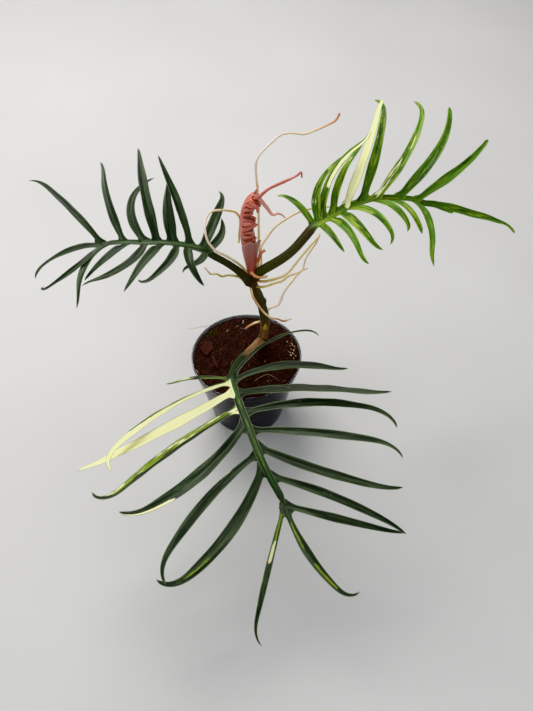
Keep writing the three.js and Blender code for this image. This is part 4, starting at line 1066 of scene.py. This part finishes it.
def make_new_leaf(finish):
    """Crumpled new leaf: a smooth spine on its left and stacked folds that stand out to the right.

    The surface is a distance from the middle line as a function of place along it and angle round
    it. Each fold is a rounded crest across the angle, broken into lumps; where two folds meet,
    the higher one counts, which leaves a sharp crease. A crease is never deeper than a set share
    of the folds beside it. Folds stand out most at the right and die at the spine.
    """
    line = Line(NEW_LEAF_LINE)
    far = np.linspace(0, line.length, 300)[:, None]
    share = far / line.length
    t = line.heading(share[:, 0])
    right, front = right_frame(t)
    angle = round_turn(130)
    # 0 at the spine, 1 at the right
    out = smooth((np.cos(angle) + 0.86) / 1.55)
    at = far + 0.8 * mottle(far / 7, angle * 1.9, 31) + 0.35 * mottle(far / 2.5, angle * 4, 32)
    crest, peak, lean = np.zeros((3, *at.shape))
    for k, (place, wide, stand, climb, tilt) in enumerate(RIDGES):
        bow = climb * out + 0.5 * np.sin(2.3 * angle + 1.7 * k)
        round_top = np.clip(1 - np.abs((at - place - bow) / wide) ** 1.7, 0, 1)
        lumps = 1 + 0.2 * np.sin(3 * angle + 2.1 * k) + 0.16 * np.sin(7 * angle - 1.3 * k)
        height = stand * (CREASE_FLOOR + (1 - CREASE_FLOOR) * round_top) * lumps * (round_top > 0)
        higher = height > crest
        crest = np.where(higher, height, crest)
        peak = np.where(higher, round_top, peak)
        lean = np.where(higher, tilt, lean)
    ridges = np.array(RIDGES)
    crest = np.maximum(crest, CREASE_FLOOR * np.interp(at, ridges[:, 0], ridges[:, 2], 0, 0))
    reach = out ** 1.35
    core = along(NEW_LEAF_R, share)
    wrinkle = 0.13 * mottle(far / 0.9, angle * 7, 33) * out
    radius = core + crest * reach * 0.98 + wrinkle + 0.1 * mottle(far / 5, angle * 2, 34)
    # The folds are flatter from front to back than they are wide
    x, y = radius * np.cos(angle), (core + (radius - core) * 0.7) * np.sin(angle)
    shift = lean * crest * reach
    points = carried(line.place(share[:, 0]), right, front, x, y) + shift[..., None] * t[:, None]
    # Where the creases get their orange-brown colour and their painted shade
    crease = smooth((0.8 - peak) / 0.75) * smooth((out - 0.12) / 0.3)
    spine = 1 - smooth((out - 0.1) / 0.35)
    tan = window(far, 8, 35, 9) * (0.35 + 0.65 * spine) + 0.35 * (np.sin(angle) < -0.3)
    skin = Skin()
    skin.grid(points, grain=together(far, 5 * angle, 1.0), crease=crease, tan=np.clip(tan, 0, 0.8))
    tube(skin, RED_ARM, (1.9, 1.6, 1.45, 1.3, 0.9), 0.9, 18, 0.82, 0.16, 3, red=0.8)
    tube(skin, PINK_ARM, (2.3, 2.2, 2.0, 1.5, 1.0, 0.55), 0.9, 18, 0.82, 0.14, 4, white=0.6)
    tube(skin, RED_SPIKE, (1.6, 1.3, 0.5), 0.7, 14, 0.9, 0.1, 5, red=1.0)
    tube(skin, CURLED_SCRAP, (2.0, 2.4, 2.2, 1.2), 0.6, 18, 0.8, 0.22, 6)
    return skin.make("crumpled_new_leaf", finish, ["new_leaf"])


def make_sheath(finish):
    """Sheath round the new leaf's foot: an open shell that wraps a little past one turn.

    Its radius grows with height, and from 0.955 to 1.03 of that with the angle round it, so that
    one edge lies over the other. Its top edge climbs from the left over the front to a flared
    ear at the right.
    """
    line = Line(SHEATH_LINE)
    level = np.linspace(0, 1, 46)[:, None]
    q = np.linspace(0, 1, 84)[None]
    angle = np.radians(SHEATH_FROM) + q * np.radians(SHEATH_TURN)
    ear = bell(q, 0.1, 0.06)
    rim = np.interp(q, SHEATH_RIM_Q, SHEATH_RIM_V) + 0.04 * ear + 0.012 * np.sin(q * 40)
    v = level * np.minimum(rim, 1)
    right, front = right_frame(line.heading(v[:, 0]))
    radius = along(SHEATH_R, v) * (0.955 + 0.075 * q) + 0.12 * mottle(v * 6, q * 16, 41)
    radius = radius + (0.4 + 1.6 * ear) * smooth((v - 0.7) / 0.3) ** 2
    thick = SHEATH_T * np.sqrt(np.clip(1 - (2 * q - 1) ** 12, 0, 1))
    thick = thick * (1 - 0.5 * smooth((v - 0.6) / 0.4)) * np.sqrt(np.clip(1 - level ** 30, 0, 1))
    rings = [carried(line.place(v), right, front, *polar(r, angle))
             for r in (radius, radius - thick)]
    q, v = out_and_back(q, q), out_and_back(v, v)
    edge = smooth((level - 0.965) / 0.03) + smooth((np.abs(q - 0.5) - 0.488) / 0.008)
    skin = Skin()
    skin.grid(out_and_back(*rings), grain=together(v * 26, q * 38, 1.0), reach=v,
              edge=np.clip(edge, 0, 0.7))
    # The fans that close the shell's ends would bridge its opening, so they are left out: the
    # foot is inside the stem, and the top edge is welded shut
    skin.tris = [np.zeros((0, 3), int)]
    return skin.make("mauve_sheath", finish, ["new_leaf_sheath"], weld=True)


def make_root(node, finish, seed):
    """One root in the air: a slightly knotty rod with its colours read along it."""
    radii, colours, points = ROOTS[node]
    skin = Skin()
    tube(skin, points, np.linspace(*radii, 8), 1.0, 16, 1.0, 0.13, seed)
    steps = np.array([rgb(*ROOT_COLOURS[word])[:3] for word in colours.split()])
    paint = skin.paint[0]
    paint["colour"] = read_rows(paint["reach"][:, 0], np.linspace(0, 1, len(steps)), steps)
    return skin.make(node.replace("root_", "air_root_"), finish, [node])


def make_bark(node, finish, seed):
    """A bit of bark: a flat lump whose outline is read by angle, with torn layered edges.

    Rings run from the middle of the top over the edge to the middle of the underside. The edge
    steps in and out by layers, and ridges run along its length.
    """
    bit = BARK[node]
    corners = np.array(BARK_OUTLINE) * (bit["length"], bit["width"])
    hops = np.roll(corners, -1, axis=0) - corners
    edge = (corners[:, None] + hops[:, None] * np.linspace(0, 1, 12)[:, None]).reshape(-1, 2)
    bearing = np.arctan2(edge[:, 1], edge[:, 0])
    order = np.argsort(bearing)
    angle = round_turn(90)
    reach = np.linalg.norm(edge[order], axis=1)
    outline = np.interp(angle, bearing[order], reach, period=2 * np.pi)
    outline = outline * (1 + 0.07 * mottle(angle * 5, seed, seed))
    inward = np.r_[np.linspace(0.04, 0.94, 10), TORN_INWARD, np.linspace(0.9, 0.04, 6)][:, None]
    level = np.r_[np.ones(10), TORN_LEVEL, np.zeros(6)][:, None]
    x, y = polar(inward * outline, angle)
    ridged = 0.35 * mottle(x / 5, y / 0.8, seed + 1) + 0.2 * mottle(x / 1.2, y / 0.9, seed + 2)
    z = level * bit["height"] + ridged * np.where(level > 0.5, 1, 0.3) + 0.05 * x
    y, z = turned(y, z, np.radians(bit["tilt"]))
    px, py = turned(x, y, np.radians(bit["turn"]))
    skin = Skin()
    skin.grid(together(bit["x"] + px, bit["y"] + py, soil_top(bit["x"], bit["y"]) - BARK_SINK + z),
              grain=together(x, y, seed))
    return skin.make(node.replace("bark", "husk"), finish, [node])


def make_soil(finish):
    """The fill: rings from the middle of its top, over its edge and down the wall to its foot.

    The top is the waved level with three sizes of lumps; the side is the wall's radius, pressed
    back here and there by hollows.
    """
    angle = round_turn(256)
    share = np.linspace(0.02, 0.992, 74)[:, None]
    x, y = polar(soil_radius(SOIL_EDGE_Z) * share, angle)
    lumps = sum(high * mottle(x / wide, y / wide, seed) for high, wide, seed in SOIL_LUMPS)
    z = soil_top(x, y) + lumps - SOIL_EDGE_DROP * smooth((share - 0.8) / 0.2)
    foot = POT_FLOOR + SOIL_GAP
    level = np.linspace(SOIL_EDGE_Z - 0.6, foot, 52)[:, None]
    turns = angle / np.pi * 32
    pits = 0.5 * mottle(turns, level / 5, 54) + 0.6 * mottle(turns * 2, level / 2.1, 55)
    pits = np.clip(pits, 0, 1) + 0.4 * np.clip(mottle(turns * 4, level / 1.1, 56), 0, 1)
    side = polar(soil_radius(level) - 0.05 - 0.9 * pits, angle)
    under = polar(np.array([[0.7], [0.3]]) * soil_radius(foot), angle)
    skin = Skin()
    skin.grid(np.vstack([together(x, y, z), together(*side, level), together(*under, foot)]))
    return skin.make("potting_mix", finish, ["soil"])


def lump_corners():
    """The 12 corners of a regular solid of radius 1: three golden rectangles, crossed."""
    g = (1 + 5 ** 0.5) / 2
    first = np.array([(-1, g, 0), (1, g, 0), (-1, -g, 0), (1, -g, 0)])
    return unit(np.vstack([np.roll(first, k, axis=1) for k in range(3)]))


def scatter(skin, places, sizes, tones, rng, flat=0.7):
    """A lump at each place, with its corners pushed in and out, stretched and turned."""
    corners = lump_corners()
    for place, size, tone in zip(places, sizes, tones):
        stretch = rng.uniform(0.6, 1.25, 3) * (1, 1, flat)
        shape = corners * rng.uniform(0.72, 1.2, (12, 1)) * stretch * size
        cos, sin = polar(1, rng.uniform(0, 2 * np.pi))
        shape = shape @ np.array([[cos, sin, 0], [-sin, cos, 0], [0, 0, 1]])
        skin.put(shape + place, np.zeros((0, 4), int), LUMP_FACES, {"tone": np.full((12, 1), tone)})


def on_soil(rng, count, edge=0.97):
    """Random places on the soil's top, evenly over its area."""
    r = soil_radius(SOIL_EDGE_Z) * edge * np.sqrt(rng.uniform(0, 1, count))
    x, y = polar(r, rng.uniform(0, 2 * np.pi, count))
    return np.stack([x, y, soil_top(x, y)], -1)


def make_crumbs(finish):
    """Loose crumbs of coir on the soil's top."""
    rng = np.random.default_rng(61)
    skin = Skin()
    places = on_soil(rng, CRUMBS)
    places[:, 2] += rng.uniform(-0.1, 0.6, CRUMBS)
    scatter(skin, places, rng.uniform(0.2, 0.5, CRUMBS) + 0.6 * rng.uniform(0, 1, CRUMBS) ** 5,
            rng.uniform(0, 0.75, CRUMBS) ** 1.8, rng)
    return skin.make("coir_crumbs", finish)


def make_perlite(finish):
    """White perlite grains: a cluster by the right wall, and single ones."""
    rng = np.random.default_rng(62)
    x, y = np.array(PERLITE).T
    skin = Skin()
    scatter(skin, np.stack([x, y, soil_top(x, y) + 0.6], -1), rng.uniform(0.55, 1.0, x.size),
            rng.uniform(0.5, 1, x.size), rng, 0.9)
    few = on_soil(rng, FINE_GRAINS)
    few[:, 2] += 0.4
    scatter(skin, few, rng.uniform(0.2, 0.45, FINE_GRAINS), rng.uniform(0.0, 0.6, FINE_GRAINS),
            rng, 0.9)
    return skin.make("perlite", finish)


def make_fibres(finish):
    """Coir fibres: short bent threads that lie on the soil, some with an end in the air."""
    rng = np.random.default_rng(63)
    skin = Skin()
    for place in on_soil(rng, FIBRES, 0.93):
        span = rng.uniform(2, 7)
        heading = rng.uniform(0, 2 * np.pi) + np.cumsum(rng.uniform(-0.45, 0.45, 4))
        hops = np.stack(polar(1, heading), -1) * span / 4
        flat = place[:2] + np.vstack([np.zeros(2), np.cumsum(hops, axis=0)])
        flat = flat * np.minimum(1, INSIDE_R / np.maximum(np.linalg.norm(flat, axis=1), 1))[:, None]
        rise = rng.uniform(-0.2, 0.9, 5)
        rise = rise + np.linspace(0, 1, 5) ** 2 * rng.uniform(0, 2.2) * (rng.uniform() < 0.35)
        points = np.column_stack([flat, soil_top(*flat.T) + 0.35 + rise])
        thick = rng.uniform(0.08, 0.16)
        tube(skin, points, (thick, thick, thick * 0.6), 1.2, 5, blunt=0.5,
             tone=rng.uniform(0.1, 0.9) ** 1.5)
    return skin.make("coir_fibres", finish)


def make_threads(finish):
    """Thin pale roots over the soil, and those pressed against the pot's wall."""
    skin = Skin()
    for k, (radius, tone, points) in enumerate(THREADS):
        tube(skin, points, (radius, radius, radius * 0.5), 0.8, 10, 1.0, 0.15, 70 + k, tone=tone)
    rng = np.random.default_rng(64)
    spans = [(-22, 22), (-14, 4), (0.18, 0.34), (0.3, 0.8)]
    walls = WALL_ROOTS + [(a, z, *(rng.uniform(*span) for span in spans))
                          for a in range(-40, 270, 22)
                          for z in (rng.uniform(22, 45), rng.uniform(50, 74))]
    for bearing, z, sweep, fall, radius, tone in walls:
        s = np.linspace(0, 1, 6)
        a = np.radians(bearing + sweep * s + rng.uniform(-2, 2, 6))
        level = z + fall * s + rng.uniform(-1.2, 1.2, 6)
        points = together(*polar(soil_radius(level) + 0.1 - radius * 0.8, a), level)
        tube(skin, points, (radius, radius, radius * 0.6), 1.0, 8, 1.0, 0.1, 90, tone=tone)
    return skin.make("pale_threads", finish)


def make_moss(finish):
    """A little moss by the left wall: short upright curved blades."""
    rng = np.random.default_rng(65)
    skin = Skin()
    for _ in range(MOSS_BLADES):
        x, y = rng.normal(*MOSS_SPREAD)
        if np.hypot(x, y) > INSIDE_R:
            continue
        (lean_x, lean_y), high = rng.uniform(-0.9, 0.9, 2), rng.uniform(0.8, 2.0)
        z = soil_top(x, y) + 0.3
        blade = [(x, y, z), (x + lean_x * 0.4, y + lean_y * 0.4, z + high * 0.6),
                 (x + lean_x, y + lean_y, z + high)]
        tube(skin, blade, (0.2, 0.16, 0.06), 0.6, 4, blunt=0.5, tone=rng.uniform(0.2, 0.9))
    return skin.make("moss", finish)


def arc(r, z, radius, start, end, steps=5):
    """Points on an arc in the profile plane, from one bearing to another in degrees."""
    a, b = polar(radius, np.radians(np.linspace(start, end, steps)))
    return list(zip(r + a, z + b))


def make_pot(finish):
    """Pot: one profile turned round the axis, and a ring of drain holes cut through its floor."""
    foot, lip, low = POT_BASE_D / 2, POT_TOP_D / 2, POT_H - LIP_H
    wall = np.linspace(2.4, low - 0.6, 24)
    rim_z = POT_H - LIP_ROUND
    profile = [(6, 0), (foot - 6, 0), *arc(foot - 0.9, FOOT_ROUND, FOOT_ROUND, -90, -8)]
    profile += [(pot_outer(z), z) for z in wall]
    profile += arc(lip - 0.55, low + 0.75, 0.55, -60, 0, 4)
    profile += arc(lip - LIP_ROUND, rim_z, LIP_ROUND, 0, 90)
    profile += arc(lip - LIP_W + LIP_ROUND, rim_z, LIP_ROUND, 90, 180)
    profile += [(pot_outer(low) - POT_WALL + 0.35, low + 0.4)]
    profile += [(pot_outer(z) - POT_WALL, z) for z in wall[::-1]]
    profile += [(r, POT_FLOOR) for r in (pot_outer(POT_FLOOR) - POT_WALL - 0.7, foot - 8, 6)]
    r, z = np.array(profile).T[:, :, None]
    skin = Skin()
    skin.grid(together(*polar(r, round_turn(160)), z))
    pot = skin.make("clear_pot", finish, ["pot"])
    holes = Skin()
    for k in range(DRAIN_COUNT):
        x, y = polar(DRAIN_RING_R, 2 * np.pi * (k + 0.5) / DRAIN_COUNT)
        dx, dy = polar(DRAIN_D / 2, round_turn(28))
        holes.grid(together(x + dx, y + dy, np.array([[-2.0], [4.0]])))
    drill = add_object("drill", holes.mesh("drill"))
    cut = pot.modifiers.new("drain_holes", "BOOLEAN")
    cut.object, cut.operation, cut.solver = drill, "DIFFERENCE", "EXACT"
    bpy.context.view_layer.update()
    done = bpy.data.meshes.new_from_object(pot.evaluated_get(bpy.context.evaluated_depsgraph_get()))
    pot.modifiers.clear()
    pot.data = done
    bpy.data.objects.remove(drill)
    return pot


def add_light(name, place, aim, size, watts, colour):
    """A square soft light at a place, turned to face its aim."""
    data = bpy.data.lights.new(name, "AREA")
    data.size, data.energy, data.color = size, watts, colour
    light = add_object(name, data)
    light.location = place
    light.rotation_euler = (Vector(aim) - Vector(place)).to_track_quat("-Z", "Y").to_euler()


front_skin = leaf_finish("front_leaf_skin", (24, 31, 22), (44, 55, 40), (92, 104, 80),
                         (134, 146, 114), (44, 56, 28), (46, 60, 30), (46, 104, 24))
left_skin = leaf_finish("left_leaf_skin", (28, 37, 25), (46, 61, 40), (90, 104, 80),
                        (114, 122, 96), (52, 52, 32), (46, 54, 30), (72, 116, 42))
right_skin = leaf_finish("right_leaf_skin", (32, 64, 12), (58, 102, 20), (108, 152, 54),
                         (150, 178, 98), (56, 60, 26), (66, 54, 36), (78, 122, 24))
make_leaf("front_leaf_blade", FRONT_LEAF, FRONT_PATCHES, front_skin,
          ["front_leaf", "front_leaf_cream_1", "front_leaf_cream_2"], 1)
make_leaf("left_leaf_blade", LEFT_LEAF, LEFT_PATCHES, left_skin, ["left_leaf"], 2)
make_leaf("right_leaf_blade", RIGHT_LEAF, RIGHT_PATCHES, right_skin,
          ["right_leaf", "right_leaf_cream"], 3)

make_stem(stem_finish())
make_bract(bract_finish())
make_new_leaf(new_leaf_finish())
make_sheath(sheath_finish())
root_skin = root_finish()
for seed, node in enumerate(ROOTS):
    make_root(node, root_skin, 20 + seed)

husk = bark_finish()
for seed, node in enumerate(BARK):
    make_bark(node, husk, 80 + 3 * seed)
make_soil(soil_finish())
make_crumbs(toned_finish("coir_crumb", (16, 6, 4), (150, 96, 68), 0.8, 0.4))
make_fibres(toned_finish("coir_fibre", (34, 16, 10), (130, 84, 58), 0.7, 0.1))
make_perlite(toned_finish("perlite_grain", (132, 104, 82), (226, 208, 184), 0.9, 0.4))
make_threads(toned_finish("pale_root", (96, 68, 48), (206, 186, 164), 0.6, 0.1))
make_moss(toned_finish("moss_blade", (30, 42, 10), (92, 110, 36), 0.7, 0.05))
make_pot(pot_finish())

floor_mesh = bpy.data.meshes.new("floor")
floor_mesh.from_pydata([(-4, -3, 0), (4, -3, 0), (4, 6, 0), (-4, 6, 0)], [], [(0, 1, 2, 3)])
floor_mesh.materials.append(floor_finish())
floor = add_object("floor", floor_mesh)

add_light("key_behind", (-0.35, 0.75, 1.35), (0, 0, 0.15), 0.9, 19, (1.0, 0.98, 0.95))
add_light("fill_front", (0.5, -1.3, 1.2), (0, -0.05, 0.15), 1.4, 9, (0.95, 0.97, 1.0))
add_light("fill_left", (-1.3, -0.1, 0.8), (0, -0.05, 0.2), 1.0, 5.5, (1.0, 1.0, 1.0))

world = bpy.data.worlds.new("studio")
world.use_nodes = True
world_light = world.node_tree.nodes["Background"].inputs
world_light["Color"].default_value = (0.9, 0.93, 1.0, 1)
world_light["Strength"].default_value = 0.3
bpy.context.scene.world = world
bpy.context.scene.view_settings.view_transform = "Khronos PBR Neutral"

# The camera stands where the photograph was taken from: 39.8 degrees from straight down
camera_data = bpy.data.cameras.new("camera")
camera_data.lens = 40.506
camera_data.sensor_width = 36
camera = add_object("camera", camera_data)
camera.location = (0.020, -0.5126, 0.6992)
camera.rotation_euler = (np.radians(39.8), 0, 0)
bpy.context.scene.camera = camera
